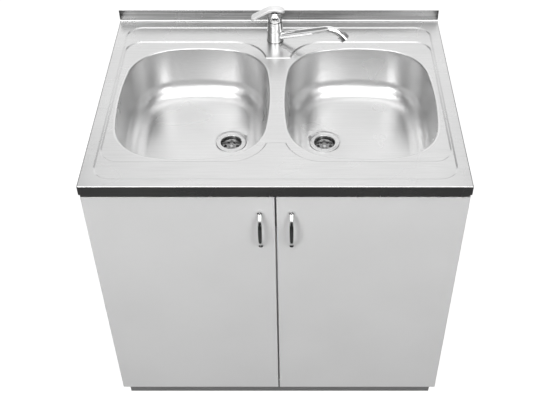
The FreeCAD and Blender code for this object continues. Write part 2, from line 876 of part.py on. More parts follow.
def side_panel(side, word, bores):
    height = "worktop_height - sheet_gauge - panel_fit - glide_height"
    board_x = across(side, "inner_half", "board")
    panel = box(f"side_board_{word}", board_x, ("carcass_front_y", "carcass_depth"),
                ("glide_height", height))
    toe = box(f"toe_notch_{word}", across(side, "inner_half - 1", "board + 2"),
              ("carcass_front_y - 1", "front_y + plinth_setback + board - carcass_front_y + 1"),
              (0, "plinth_height"))
    return cut(f"side_panel_{word}", panel, toe, *bores)


def back_panel():
    """A thin back nailed on behind the boards, open where the pipes pass."""
    body = new_body("back_sheet", "-inner_half - board / 2", "carcass_back_y + back_gauge",
                    "plinth_height")
    face = new_sketch(body, "face", "XZ_Plane")
    width = "(2 * inner_half + board)"
    height = "(ledge_z - sheet_gauge - plinth_height)"
    rectangle(face, 0, 0, width, height)
    feature(body, "Pad", "sheet", face, "back_gauge", 0, True)
    window = new_sketch(body, "window", "XZ_Plane")
    left = f"({width} - service_width) / 2"
    low = "service_sill - plinth_height"
    rounded_rectangle(window, left, low, f"{left} + service_width", f"{low} + service_height",
                      "service_corner")
    feature(body, "Pocket", "service_opening", window, "back_gauge", 0, True)
    return body


def cabinet(plate_bores):
    nodes = {}
    dowels, glides, clips, screws = [], [], [], []
    for side, word in SIDES:
        feet = glide_rods(side, word)
        pegs = dowel_rods(side, word)
        brackets, clip_screws = clip_pieces(side, word)
        bores = [peg for peg, _ in feet] + pegs + [shank for shank, _ in clip_screws]
        nodes[f"side_panel_{word}"] = side_panel(side, word, bores + plate_bores[side])
        dowels += pegs
        glides += [foot for _, foot in feet]
        clips += brackets
        screws += [screw for _, screw in clip_screws]
    inside = ("-inner_half", "2 * inner_half")
    rail_z = ("ledge_z - sheet_gauge - rail_height", "rail_height")
    boards = {
        "bottom_panel": (inside, ("carcass_front_y", "carcass_depth"), ("plinth_height", "board")),
        "front_rail": (inside, ("carcass_front_y", "board"), rail_z),
        "rear_rail": (inside, ("carcass_back_y - board", "board"), rail_z),
    }
    for name, edges in boards.items():
        nodes[name] = cut(name, box(f"{name}_board", *edges), *dowels)
    nodes["plinth_board"] = box("plinth_board", ("-carcass_width / 2", "carcass_width"),
                                ("front_y + plinth_setback", "board"),
                                ("glide_height", "plinth_height - glide_height"))
    nodes["back_panel"] = back_panel()
    nodes["cabinet_dowels"] = group("cabinet_dowels", dowels)
    nodes["glides"] = group("glides", glides)
    nodes["sink_clips"] = group("sink_clips", clips)
    nodes["clip_screws"] = group("clip_screws", screws)
    nodes["bumpers"] = group("bumpers", [
        rod(f"bumper_{word}_{end}", "bumper_radius", "door_gap - hinge_cup_fit",
            f"{side} * bumper_inset", "carcass_front_y", z, "-y")
        for side, word in SIDES
        for end, z in (("low", "plinth_height + board / 2"), ("high", "door_top_z - board"))
    ])
    return nodes


# Doors, handles and hinges -----------------------------------------------------------------


def hinge(side, word, end, z):
    """One concealed hinge, drawn at the single pivot that its links act about."""
    tag = f"{word}_{end}"
    cup_x = f"{side} * cup_x"
    shell = turned(
        f"cup_shell_{tag}",
        (
            (0, "-hinge_cup_depth"),
            ("hinge_cup_radius", "-hinge_cup_depth"),
            ("hinge_cup_radius", 0),
            ("hinge_flange_radius", 0),
            ("hinge_flange_radius", "hinge_flange_gauge"),
            ("hinge_cup_radius - hinge_cup_wall", "hinge_flange_gauge"),
            ("hinge_cup_radius - hinge_cup_wall", "hinge_cup_wall - hinge_cup_depth"),
            (0, "hinge_cup_wall - hinge_cup_depth"),
        ),
        cup_x, "door_back_y", z, TURNS["y"],
    )
    wing = box(f"cup_wing_{tag}", (f"{cup_x} - hinge_wing_width / 2", "hinge_wing_width"),
               ("door_back_y", "hinge_flange_gauge"), (f"{z} - hinge_wing", "2 * hinge_wing"))
    mouth = rod(f"cup_mouth_{tag}", "hinge_cup_radius - hinge_cup_wall", "2 * hinge_flange_gauge",
                cup_x, "door_back_y", z, "y")
    wings = cut(f"cup_wings_{tag}", wing, mouth)
    ears = []
    ear_start = "knuckle_length / 2 + hinge_cup_fit"
    for sign, ear in ((-1, "low"), (1, "high")):
        low = f"{z} + {ear_start}" if sign > 0 else f"{z} - ({ear_start}) - ear_gauge"
        ears.append(box(
            f"cup_ear_{tag}_{ear}",
            across(side, "pivot_x - ear_half", "ear_half + hinge_cup_edge"),
            ("door_back_y - hinge_cup_depth + hinge_cup_wall / 2",
             "pivot_y + ear_half - door_back_y + hinge_cup_depth - hinge_cup_wall / 2"),
            (low, "ear_gauge"),
        ))
    half_pin = "pin_length / 2"
    pin_rod = rod(f"hinge_pin_{tag}", "pin_radius", "pin_length", f"{side} * pivot_x", "pivot_y",
                  f"{z} - {half_pin}")
    bore = rod(f"ear_bore_{tag}", "pin_radius + pivot_fit", "pin_length", f"{side} * pivot_x",
               "pivot_y", f"{z} - {half_pin}")
    shanks, screws = [], []
    for sign, spot in ((-1, "low"), (1, "high")):
        screw_z = f"{z} + {sign} * cup_screw_offset"
        shank = rod(f"cup_screw_shank_{tag}_{spot}", "cup_screw_radius",
                    "cup_screw_length + hinge_flange_gauge", cup_x,
                    "door_back_y + hinge_flange_gauge", screw_z, "-y")
        head = rod(f"cup_screw_head_{tag}_{spot}", "2 * cup_screw_radius", "cup_screw_head",
                   cup_x, "door_back_y + hinge_flange_gauge", screw_z, "y")
        shanks.append(shank)
        screws.append(join(f"cup_screw_{tag}_{spot}", shank, head))
    cup = cut(f"hinge_cup_{tag}", join(f"cup_whole_{tag}", shell, wings, *ears), bore, *shanks)
    boring = rod(f"cup_boring_{tag}", "hinge_cup_radius + hinge_cup_fit", "hinge_cup_depth",
                 cup_x, "door_back_y", z, "-y")

    # The arm is fixed to the cabinet: a knuckle on the pin, a leg out of the cup, a block.
    end_x = "pivot_x - arm_reach"
    knuckle = rod(f"arm_knuckle_{tag}", "knuckle_radius", "knuckle_length", f"{side} * pivot_x",
                  "pivot_y", f"{z} - knuckle_length / 2")
    tall = (f"{z} - knuckle_length / 2", "knuckle_length")
    leg = box(f"arm_leg_{tag}", across(side, f"{end_x} - arm_gauge / 2", "arm_reach + arm_gauge / 2"),
              ("pivot_y - arm_gauge / 2", "arm_gauge"), tall)
    neck = box(f"arm_neck_{tag}", across(side, f"{end_x} - arm_gauge / 2", "arm_gauge"),
               ("pivot_y - arm_gauge / 2", "block_y - pivot_y + arm_gauge"), tall)
    block = box(f"arm_block_{tag}",
                across(side, f"{end_x} - arm_gauge / 2",
                       f"inner_half - hinge_plate_gauge - ({end_x}) + arm_gauge / 2"),
                ("block_y", "arm_block_length"), (f"{z} - arm_block_height / 2", "arm_block_height"))
    arm = cut(f"hinge_arm_{tag}", join(f"arm_whole_{tag}", knuckle, leg, neck, block), pin_rod)

    plate_y = "carcass_front_y + hinge_plate_start"
    plate = box(f"plate_flat_{tag}", across(side, "inner_half - hinge_plate_gauge", "hinge_plate_gauge"),
                (plate_y, "hinge_plate_length"),
                (f"{z} - hinge_plate_height / 2", "hinge_plate_height"))
    bores, plate_screws = [], []
    for sign, spot in ((-1, "low"), (1, "high")):
        screw_z = f"{z} + {sign} * plate_screw_spacing / 2"
        seat = f"{side} * (inner_half - hinge_plate_gauge)"
        middle = f"{plate_y} + hinge_plate_length / 2"
        shank = rod(f"plate_screw_shank_{tag}_{spot}", "plate_screw_radius", "plate_screw_length",
                    seat, middle, screw_z, outward(side))
        head = rod(f"plate_screw_head_{tag}_{spot}", "screw_head_radius", "screw_head_height",
                   seat, middle, screw_z, inward(side))
        bores.append(shank)
        plate_screws.append(join(f"plate_screw_{tag}_{spot}", shank, head))
    return {
        "cup": cup,
        "arm": arm,
        "pin": pin_rod,
        "plate": cut(f"hinge_plate_{tag}", plate, *bores),
        "door_cuts": [boring] + shanks,
        "cup_screws": screws,
        "panel_cuts": bores,
        "plate_screws": plate_screws,
    }


def handle_screws(side, word):
    shanks, screws = [], []
    for sign, spot in ((-1, "low"), (1, "high")):
        z = f"handle_z + {sign} * handle_spacing / 2"
        x = f"{side} * handle_from_centre"
        shank = rod(f"handle_screw_shank_{word}_{spot}", "handle_screw_radius",
                    "door_thickness + handle_screw_bite", x, "door_back_y", z, "-y")
        head = rod(f"handle_screw_head_{word}_{spot}", "screw_head_radius", "screw_head_height",
                   x, "door_back_y", z, "y")
        shanks.append(shank)
        screws.append(join(f"handle_screw_{word}_{spot}", shank, head))
    return shanks, screws


def handle(side, word, shanks):
    """An arched bow: part of a ring of oval section, with a round foot at each end."""
    x = f"{side} * handle_from_centre"
    bow = new_body(f"handle_bow_{word}", x, "door_front_y - handle_rise + handle_arc", "handle_z")
    section = new_sketch(bow, "section", "XY_Plane")
    half = "handle_width / 2"
    rounded_rectangle(section, f"-{half}", "-handle_arc - handle_gauge / 2", half,
                      "-handle_arc + handle_gauge / 2", "handle_edge")
    arch = bow.newObject("PartDesign::Revolution", f"handle_bow_{word}_turn")
    arch.Profile = section
    arch.ReferenceAxis = (section, ["H_Axis"])
    arch.Angle = 360
    doc.recompute()
    span = "2 * (handle_arc + handle_gauge)"
    behind = box(f"handle_behind_{word}", (f"{x} - handle_width", "2 * handle_width"),
                 ("door_front_y", span), (f"handle_z - {span} / 2", span))
    feet = [
        rod(f"handle_foot_{word}_{spot}", "handle_foot_radius", "handle_foot_height", x,
            "door_front_y", f"handle_z + {sign} * handle_spacing / 2", "-y")
        for sign, spot in ((-1, "low"), (1, "high"))
    ]
    arched = cut(f"handle_arched_{word}", bow, behind)
    return cut(f"handle_{word}", join(f"handle_whole_{word}", arched, *feet), *shanks)


def door(side, word, cuts):
    x = "door_centre_gap / 2" if side > 0 else "-door_centre_gap / 2 - door_width"
    body = new_body(f"door_board_{word}", x, "door_front_y", "door_bottom_z")
    plan = rectangle(new_sketch(body, "plan", "XY_Plane"), 0, 0, "door_width", "door_thickness")
    feature(body, "Pad", "board", plan, "door_height", 0, True)

    def front(edge):
        return abs(edge.BoundBox.YMin) < NEAR and edge.BoundBox.YLength < NEAR

    round_edges(body, "edge", "door_edge", front)
    return cut(f"door_{word}", body, *cuts)


def doors():
    """Both doors with their handles and hinges; also what the side panels are bored for."""
    nodes, panel_cuts = {}, {}
    pins, plates, plate_screws = [], [], []
    for side, word in SIDES:
        cup_screws, door_cuts = [], []
        panel_cuts[side] = []
        for end, z in (("low", "door_bottom_z + hinge_inset"), ("high", "door_top_z - hinge_inset")):
            made = hinge(side, word, end, z)
            nodes[f"hinge_cup_{word}_{end}"] = made["cup"]
            nodes[f"hinge_arm_{word}_{end}"] = made["arm"]
            pins.append(made["pin"])
            plates.append(made["plate"])
            plate_screws += made["plate_screws"]
            panel_cuts[side] += made["panel_cuts"]
            cup_screws += made["cup_screws"]
            door_cuts += made["door_cuts"]
        shanks, screws = handle_screws(side, word)
        nodes[f"door_{word}"] = door(side, word, door_cuts + shanks)
        nodes[f"handle_{word}"] = handle(side, word, shanks)
        nodes[f"handle_screws_{word}"] = group(f"handle_screws_{word}", screws)
        nodes[f"cup_screws_{word}"] = group(f"cup_screws_{word}", cup_screws)
    nodes["hinge_pins"] = group("hinge_pins", pins)
    nodes["hinge_plates"] = group("hinge_plates", plates)
    nodes["plate_screws"] = group("plate_screws", plate_screws)
    return nodes, panel_cuts


# Wastes and trap ---------------------------------------------------------------------------


def waste_flange(side, word, screw):
    """The strainer: a flange in the bowl's recess and a dished grid below it."""
    body = turned(
        f"strainer_{word}",
        (
            ("flange_radius", 0),
            ("flange_radius", "flange_gauge / 2"),
            ("flange_radius - flange_gauge", "flange_gauge"),
            ("strainer_radius + flange_gauge", "flange_gauge"),
            ("strainer_radius", 0),
            ("strainer_radius - flange_gauge / 2", "-strainer_drop"),
            (0, "-strainer_drop"),
            (0, "-strainer_drop - flange_gauge"),
            ("strainer_radius + flange_gauge / 2", "-strainer_drop - flange_gauge"),
            ("strainer_radius + flange_gauge", 0),
        ),
        f"{side} * drain_spacing / 2", "drain_y", "seat_z",
    )
    grid = ring(new_sketch(body, "grid", "XY_Plane", "-strainer_drop"), "strainer_hole_radius",
                "strainer_hole_circle", 0)
    hole = feature(body, "Pocket", "grid_hole", grid, "2 * flange_gauge")
    holes = body.newObject("PartDesign::PolarPattern", f"strainer_{word}_holes")
    holes.Originals = [hole]
    holes.Axis = (grid, ["N_Axis"])
    holes.Angle = 360
    bind(holes, "Occurrences", "strainer_holes")
    body.Tip = holes
    doc.recompute()
    return cut(f"waste_flange_{word}", body, screw)


def waste_body(screw):
    """The cup below the left bowl with its elbow towards the middle of the unit."""
    x, y = "-drain_spacing / 2", "drain_y"
    wall = "waste_cup_radius - 2 * waste_wall"
    cup = turned(
        "waste_cup_left",
        (
            (wall, 0),
            ("waste_cup_radius", 0),
            ("waste_cup_radius", "-2 * waste_wall"),
            ("waste_cup_radius - waste_wall", "-3 * waste_wall"),
            ("waste_cup_radius - waste_wall", "-waste_cup_drop + waste_wall"),
            ("waste_cup_radius - 2 * waste_wall", "-waste_cup_drop"),
            ("bore_radius", "-waste_cup_drop"),
            ("bore_radius", "-waste_cup_drop + waste_wall"),
            (wall, "-waste_cup_drop + 2 * waste_wall"),
        ),
        x, y, "cup_top_z",
    )
    drop = "cup_top_z - waste_cup_drop + waste_wall - pipe_z"
    outer = [
        rod("waste_drop_left", "pipe_radius", drop, x, y, "pipe_z"),
        ball("waste_turn_left", "pipe_radius", x, y, "pipe_z"),
        rod("waste_spigot_left", "pipe_radius", "elbow_reach", x, y, "pipe_z", "x"),
    ]
    inner = [
        rod("waste_drop_bore_left", "bore_radius", f"{drop} + waste_wall", x, y, "pipe_z"),
        ball("waste_turn_bore_left", "bore_radius", x, y, "pipe_z"),
        rod("waste_spigot_bore_left", "bore_radius", "elbow_reach + 1", x, y, "pipe_z",
            "x"),
    ]
    pipe = cut("waste_elbow_left", join("waste_elbow_solid_left", *outer), *inner)
    boss_z = "cup_top_z - waste_cup_drop"
    rib_half = f"{wall} + waste_wall / 2"
    rib_z = (f"{boss_z} + 2 * waste_wall", "3 * waste_wall")
    boss = rod("waste_boss_left", "waste_boss_radius", "waste_boss_length", x, y, boss_z)
    ribs = [
        box("waste_rib_x_left", (f"{x} - ({rib_half})", f"2 * ({rib_half})"),
            (f"{y} - waste_rib / 2", "waste_rib"), rib_z),
        box("waste_rib_y_left", (f"{x} - waste_rib / 2", "waste_rib"),
            (f"{y} - ({rib_half})", f"2 * ({rib_half})"), rib_z),
    ]
    return cut("waste_body_left", join("waste_whole_left", cup, pipe, boss, *ribs), screw)


def waste_tee():
    """The cross pipe that gathers both bowls and dips into the trap."""
    half = "spigot_end_x + socket_length"
    down = "trap_z - dip_drop"
    run = rod("tee_run", "socket_radius", f"2 * ({half})", f"-({half})", "drain_y", "pipe_z", "x")
    dip = rod("tee_dip", "pipe_radius", f"pipe_z - ({down})", 0, "drain_y", down)
    bores = [
        rod("tee_run_bore", "bore_radius", f"2 * ({half})", f"-({half})", "drain_y", "pipe_z", "x"),
        rod("tee_dip_bore", "bore_radius", f"pipe_z - ({down})", 0, "drain_y", down),
    ]
    for side, word in SIDES:
        bores.append(rod(f"tee_socket_{word}", "pipe_radius + pipe_fit", "socket_length",
                         f"{side} * spigot_end_x", "drain_y", "pipe_z", outward(side)))
    return cut("waste_tee", join("tee_whole", run, dip), *bores)


def slip_nut(name, x, y, z, along):
    """A nut that draws a socket onto a pipe: wide over the socket, narrow over the pipe."""
    prism = doc.addObject("Part::Prism", f"{name}_blank")
    prism.Placement.Rotation = TURNS[along]
    bind(prism, "Polygon", "nut_sides")
    bind(prism, "Circumradius", "nut_radius")
    bind(prism, "Height", "nut_length")
    put(prism, x, y, z)
    wide = rod(f"{name}_thread", "socket_radius + pipe_fit", "nut_length / 2", x, y, z, along)
    lip = rod(f"{name}_lip", "pipe_radius + pipe_fit", "nut_length", x, y, z, along)
    return cut(name, prism, wide, lip)


def trap():
    """A bottle trap: its body hangs on the cross pipe and its cup unscrews for cleaning."""
    y = "drain_y"
    neck_length = "socket_length + waste_wall"
    end = "drain_y + trap_radius + outlet_stub"
    shell = join(
        "trap_shell",
        rod("trap_barrel", "trap_radius", "trap_length", 0, y, "trap_base_z"),
        rod("trap_neck", "socket_radius", neck_length, 0, y, "trap_top_z"),
        rod("trap_outlet", "socket_radius", "trap_radius + outlet_stub", 0, y, "trap_z", "y"),
    )
    body = cut(
        "trap_body", shell,
        rod("trap_barrel_bore", "trap_radius - waste_wall", "trap_length - waste_wall", 0, y,
            "trap_base_z"),
        rod("trap_neck_bore", "pipe_radius + pipe_fit", "trap_length", 0, y,
            "trap_top_z + socket_length + waste_wall - trap_length"),
        rod("trap_outlet_bore", "bore_radius", "trap_radius + outlet_stub", 0, y, "trap_z", "y"),
        rod("trap_outlet_socket", "pipe_radius", "socket_length", 0, f"{end} - socket_length",
            "trap_z", "y"),
    )
    cup_z = "trap_base_z + trap_thread - trap_cup_length"
    cup = cut(
        "trap_cup", rod("trap_cup_blank", "trap_cup_radius", "trap_cup_length", 0, y, cup_z),
        rod("trap_cup_thread", "trap_radius + pipe_fit", "trap_thread", 0, y, "trap_base_z"),
        rod("trap_cup_hollow", "trap_radius - waste_wall", "trap_cup_length - waste_wall", 0, y,
            f"{cup_z} + waste_wall"),
    )
    spigot_y = f"{end} - socket_length"
    stop_y = f"{end} + nut_length / 2 + 1"
    length = f"outlet_end_y - ({spigot_y})"
    tube_ = join(
        "outlet_tube",
        rod("outlet_spigot", "pipe_radius - outlet_relief", length, 0, spigot_y, "trap_z", "y"),
        rod("outlet_run", "pipe_radius", f"outlet_end_y - ({stop_y})", 0, stop_y, "trap_z", "y"),
    )
    pipe = cut("outlet_pipe", tube_,
               rod("outlet_bore", "bore_radius", length, 0, spigot_y, "trap_z", "y"))
    nuts = [
        slip_nut("nut_dip", 0, y, "trap_top_z + socket_length + waste_wall - nut_length / 2", "z"),
        slip_nut("nut_outlet", 0, f"{end} - nut_length / 2", "trap_z", "y"),
    ]
    for side, word in SIDES:
        nuts.append(slip_nut(
            f"nut_{word}", f"{side} * (spigot_end_x + socket_length - nut_length / 2)", y,
            "pipe_z", outward(side),
        ))
    return {
        "trap_body": body,
        "trap_cup": cup,
        "outlet_pipe": pipe,
        "slip_nuts": group("slip_nuts", nuts),
    }


def wastes():
    nodes = {}
    screws, seals = [], []
    for side, word in SIDES:
        x = f"{side} * drain_spacing / 2"
        grid_z = "seat_z - strainer_drop"
        shank = rod(f"waste_screw_shank_{word}", "waste_screw_radius", "waste_screw_length", x,
                    "drain_y", grid_z, "-z")
        head = turned(
            f"waste_screw_head_{word}",
            (
                (0, 0),
                ("waste_screw_head_radius", 0),
                ("waste_screw_head_radius", "screw_head_height / 2"),
                ("waste_screw_radius", "screw_head_height"),
                (0, "screw_head_height"),
            ),
            x, "drain_y", grid_z,
        )
        screws.append(join(f"waste_screw_{word}", shank, head))
        seal = rod(f"seal_disc_{word}", "waste_cup_radius", "seal_gauge", x, "drain_y", "seal_z",
                   "-z")
        seals.append(cut(f"waste_seal_{word}", seal,
                         rod(f"seal_bore_{word}", "drain_hole_radius", "seal_gauge", x, "drain_y",
                             "seal_z", "-z")))
        nodes[f"waste_flange_{word}"] = waste_flange(side, word, shank)
        if side < 0:
            nodes["waste_body_left"] = waste_body(shank)
    nodes["waste_body_right"] = mirrored("waste_body_right", nodes["waste_body_left"])
    nodes["waste_screws"] = group("waste_screws", screws)
    nodes["waste_seals"] = group("waste_seals", seals)
    nodes["waste_tee"] = waste_tee()
    nodes.update(trap())
    return nodes


# Tap -----------------------------------------------------------------------------------------


def on_tap(name, profile):
    """A piece turned about the tap's upright axis; heights are above the ledge."""
    return turned(name, profile, "tap_offset", "tap_y", "ledge_z")


def tap_base():
    deck = "sheet_gauge"
    gasket_top = "tap_gasket_gauge"
    base_top = "tap_base_height"
    bore = on_tap("tap_body_turned", (
        (0, "base_foot - shank_length"),
        ("shank_radius", "base_foot - shank_length"),
        ("shank_radius", base_top),
        ("sleeve_radius", base_top),
        ("sleeve_radius", "collar_top"),
        ("tap_radius", "collar_top"),
        ("tap_radius", "tap_body_top"),
        ("cartridge_radius", "tap_body_top"),
        ("cartridge_radius", "cartridge_floor"),
        (0, "cartridge_floor"),
    ))
    inlets = [
        rod(f"tap_inlet_{word}", "inlet_radius", "inlet_depth",
            f"tap_offset + {side} * inlet_spacing / 2", "tap_y",
            "shank_end_z")
        for side, word in SIDES
    ]
    nut = doc.addObject("Part::Prism", "tap_nut_blank")
    nut.Polygon = 6
    bind(nut, "Circumradius", "tap_nut_radius")
    bind(nut, "Height", "tap_nut_height")
    nut_z = f"ledge_z - {deck} - clamp_gauge - tap_nut_height"
    put(nut, "tap_offset", "tap_y", nut_z)
    return {
        "tap_gasket": on_tap("tap_gasket", (
            ("shank_radius", 0),
            ("tap_base_radius", 0),
            ("tap_base_radius", gasket_top),
            ("shank_radius", gasket_top),
        )),
        "tap_base_ring": on_tap("tap_base_ring", (
            ("shank_radius", gasket_top),
            ("tap_base_radius", gasket_top),
            ("tap_base_radius", f"{base_top} - tap_base_edge"),
            ("tap_base_radius - tap_base_edge", base_top),
            ("shank_radius", base_top),
        )),
        "tap_body": cut("tap_body", bore, *inlets),
        "tap_clamp": on_tap("tap_clamp", (
            ("shank_radius", f"-{deck} - clamp_gauge"),
            ("clamp_radius", f"-{deck} - clamp_gauge"),
            ("clamp_radius", f"-{deck}"),
            ("shank_radius", f"-{deck}"),
        )),
        "tap_nut": cut("tap_nut", nut, rod("tap_nut_bore", "shank_radius", "tap_nut_height",
                                           "tap_offset", "tap_y", nut_z)),
    }


def hose(side, word):
    """A water hose: its tail in the tap's shank, a drop, a bend to the back, and its nut."""
    x = f"tap_offset + {side} * inlet_spacing / 2"
    end_z = "shank_end_z - hose_drop" + (" - hose_step" if side > 0 else "")
    bend_z = f"{end_z} + hose_bend"
    bend_y = "tap_y + hose_bend"
    nut_floor = "hose_nut_length - hose_thread_depth"
    parts = []
    for kind, radius in (("outer", "hose_radius"), ("inner", "hose_radius - hose_wall")):
        bend = doc.addObject("Part::Torus", f"hose_bend_{word}_{kind}")
        bend.Placement.Rotation = Rotation(
            Vector(0, -1, 0), Vector(0, 0, -1), Vector(1, 0, 0), "ZXY"
        )
        bend.Angle3 = 90
        bind(bend, "Radius1", "hose_bend")
        bind(bend, "Radius2", radius)
        put(bend, x, bend_y, bend_z)
        drop = rod(f"hose_drop_{word}_{kind}", radius, f"shank_end_z - ({bend_z})", x, "tap_y",
                   bend_z)
        run = rod(f"hose_run_{word}_{kind}", radius, nut_floor, x, bend_y, end_z, "y")
        parts.append(join(f"hose_{word}_{kind}", bend, drop, run))
    tail = rod(f"hose_tail_{word}", "hose_tail_radius", "hose_tail_length", x, "tap_y",
               "shank_end_z")
    tail_bore = rod(f"hose_tail_bore_{word}", "hose_radius - hose_wall", "hose_tail_length", x,
                    "tap_y", "shank_end_z")
    blank = doc.addObject("Part::Prism", f"hose_nut_blank_{word}")
    blank.Placement.Rotation = TURNS["y"]
    blank.Polygon = 6
    bind(blank, "Circumradius", "hose_nut_radius")
    bind(blank, "Height", "hose_nut_length")
    put(blank, x, bend_y, end_z)
    thread = rod(f"hose_thread_{word}", "hose_thread_radius", "hose_thread_depth", x,
                 f"{bend_y} + {nut_floor}", end_z, "y")
    neck = rod(f"hose_neck_{word}", "hose_radius + pipe_fit", "hose_nut_length", x, bend_y, end_z,
               "y")
    whole = join(f"hose_whole_{word}", parts[0], tail)
    return (cut(f"hose_{word}", whole, parts[1], tail_bore),
            cut(f"hose_nut_{word}", blank, thread, neck))


def spout_path(sketch):
    """The tube's centre line: a straight rise and one bend down to the mouth."""
    start = Vector(number("spout_root_reach"), number("spout_root_height"), 0)
    bend = Vector(number("spout_bend_reach"), number("spout_bend_height"), 0)
    rise = (bend - start).normalize()
    radius = number("spout_bend_radius")
    centre = bend + Vector(rise.y, -rise.x, 0) * radius
    low = math.radians(90 - number("spout_mouth_angle"))
    high = math.atan2(rise.x, -rise.y)
    sketch.addGeometry(Part.LineSegment(start, bend), False)
    circle = Part.Circle(centre, Vector(0, 0, 1), radius)
    sketch.addGeometry(Part.ArcOfCircle(circle, low, high), False)
    sketch.addConstraint(Sketcher.Constraint("Tangent", 0, 2, 1, 2))
    pin(sketch, 0, 1, "spout_root_reach", "spout_root_height")
    pin(sketch, 0, 2, "spout_bend_reach", "spout_bend_height")
    hold(sketch, "Radius", (1,), "spout_bend_radius")
    end = centre + Vector(math.cos(low), math.sin(low), 0) * radius
    mouth_line = sketch.addGeometry(Part.LineSegment(centre, end), True)
    sketch.addConstraint(Sketcher.Constraint("Coincident", mouth_line, 1, 1, 3))
    sketch.addConstraint(Sketcher.Constraint("Coincident", mouth_line, 2, 1, 1))
    index = sketch.addConstraint(Sketcher.Constraint("Angle", -1, 1, mouth_line, 1, low))
    bind(sketch, f"Constraints[{index}]", "(90 - spout_mouth_angle) * 1 deg")
    return sketch


def mouth(offset):
    """Where the spout's mouth lies in the spout's own frame, as (reach, height) formulas."""
    run = "(spout_bend_reach - spout_root_reach)"
    climb = "(spout_bend_height - spout_root_height)"
    length = f"sqrt({run} ^ 2 + {climb} ^ 2)"
    centre_x = f"(spout_bend_reach + spout_bend_radius * {climb} / {length})"
    centre_z = f"(spout_bend_height - spout_bend_radius * {run} / {length})"
    angle = "spout_mouth_angle"
    x = f"{centre_x} + spout_bend_radius * sin({angle}) + ({offset}) * cos({angle})"
    z = f"{centre_z} + spout_bend_radius * cos({angle}) - ({offset}) * sin({angle})"
    return x, z


def tube(body, kind, name, root_radius, end_radius):
    """Sweep a narrowing round section along the spout's centre line."""
    path = spout_path(new_sketch(body, f"{name}_path", "XZ_Plane"))
    doc.recompute()
    sections = []
    for spot, radius, place in (("root", root_radius, 0), ("mouth", end_radius, 1)):
        sketch = body.newObject("Sketcher::SketchObject", f"{body.Name}_{name}_{spot}")
        sketch.AttachmentSupport = [(path, f"Edge{1 + place}"), (path, f"Vertex{1 + 2 * place}")]
        sketch.MapMode = "NormalToEdge"
        ring(sketch, radius)
        sections.append(sketch)
    doc.recompute()
    pipe = body.newObject(f"PartDesign::{kind}", f"{body.Name}_{name}")
    pipe.Profile = sections[0]
    pipe.Spine = path
    pipe.Transformation = "Multisection"
    pipe.Sections = [(sections[1], [""])]
    doc.recompute()
    return pipe


def swung_body(name):
    """A body in the spout's frame: X runs along the spout, which swings about Z."""
    body = new_body(name, "tap_offset", "tap_y", "ledge_z", Rotation(Vector(0, 0, -1), 1))
    bind(body, "Placement.Rotation.Angle", "spout_swing")
    return body


def spout():
    body = swung_body("spout")
    low, high = "tap_base_height + running_fit", "collar_top - running_fit"
    bore = "sleeve_radius + running_fit"
    tube(body, "AdditivePipe", "tube", "spout_root_radius", "spout_radius")
    collar = new_sketch(body, "collar", "XZ_Plane")
    outline(collar, (0, low), ("collar_radius", low), ("collar_radius", high), (0, high))
    ringed = body.newObject("PartDesign::Revolution", "spout_collar_turn")
    ringed.Profile = collar
    ringed.ReferenceAxis = (collar, ["V_Axis"])
    ringed.Angle = 360
    doc.recompute()
    tube(body, "SubtractivePipe", "water_way", "spout_root_radius - spout_wall",
         "spout_radius - spout_wall")
    hole = new_sketch(body, "bore", "XY_Plane", high)
    ring(hole, bore)
    feature(body, "Pocket", "collar_bore", hole, f"{high} - ({low})")
    return body


def add_rod(body, kind, name, radius, length, x, z, tilt):
    """A cylinder in a body, pointing down by `tilt` degrees along the body's X."""
    made = body.newObject(f"PartDesign::{kind}Cylinder", f"{body.Name}_{name}")
    origin = [f for f in body.Origin.OriginFeatures if f.Role == "XY_Plane"]
    made.AttachmentSupport = [(origin[0], "")]
    made.MapMode = "FlatFace"
    made.AttachmentOffset.Rotation = Rotation(Vector(0, 1, 0), 1)
    bind(made, "AttachmentOffset.Rotation.Angle", f"90 + {tilt}")
    bind(made, "AttachmentOffset.Base.x", x)
    bind(made, "AttachmentOffset.Base.z", z)
    bind(made, "Radius", radius)
    bind(made, "Height", length)
    doc.recompute()
    return made


def aerator():
    """The outlet sleeve on the spout's mouth."""
    body = swung_body("aerator")
    x, z = mouth("-aerator_overlap")
    tilt = "spout_mouth_angle"
    add_rod(body, "Additive", "sleeve", "aerator_radius", "aerator_length", x, z, tilt)
    add_rod(body, "Subtractive", "seat", "spout_radius + aerator_fit", "aerator_overlap", x, z, tilt)
    x, z = mouth(0)
    add_rod(body, "Subtractive", "water_way", "spout_radius - spout_wall", "aerator_length", x, z,
            tilt)
    x, z = mouth("aerator_length - aerator_overlap - spout_wall")
    add_rod(body, "Subtractive", "lip", "aerator_radius - spout_wall", "aerator_length", x, z, tilt)
    return body


def dome():
    inner = "dome_radius - dome_gauge"
    neck = "tap_body_top + tap_groove"
    foot_outer = f"sqrt(dome_radius ^ 2 - (pivot_height - ({neck})) ^ 2)"
    foot_inner = f"sqrt(({inner}) ^ 2 - (pivot_height - ({neck})) ^ 2)"
    hole_outer = "pivot_height + sqrt(dome_radius ^ 2 - dome_hole_radius ^ 2)"
    hole_inner = f"pivot_height + sqrt(({inner}) ^ 2 - dome_hole_radius ^ 2)"
    return on_tap("tap_dome", (
        ("cartridge_radius", "tap_body_top"),
        (f"{foot_outer} - tap_groove", "tap_body_top"),
        (f"{foot_outer} - tap_groove", neck),
        (foot_outer, neck, "dome_radius", 1),
        ("dome_hole_radius", hole_outer),
        ("dome_hole_radius", hole_inner, inner, -1),
        (foot_inner, neck),
        ("cartridge_radius", neck),
    ))


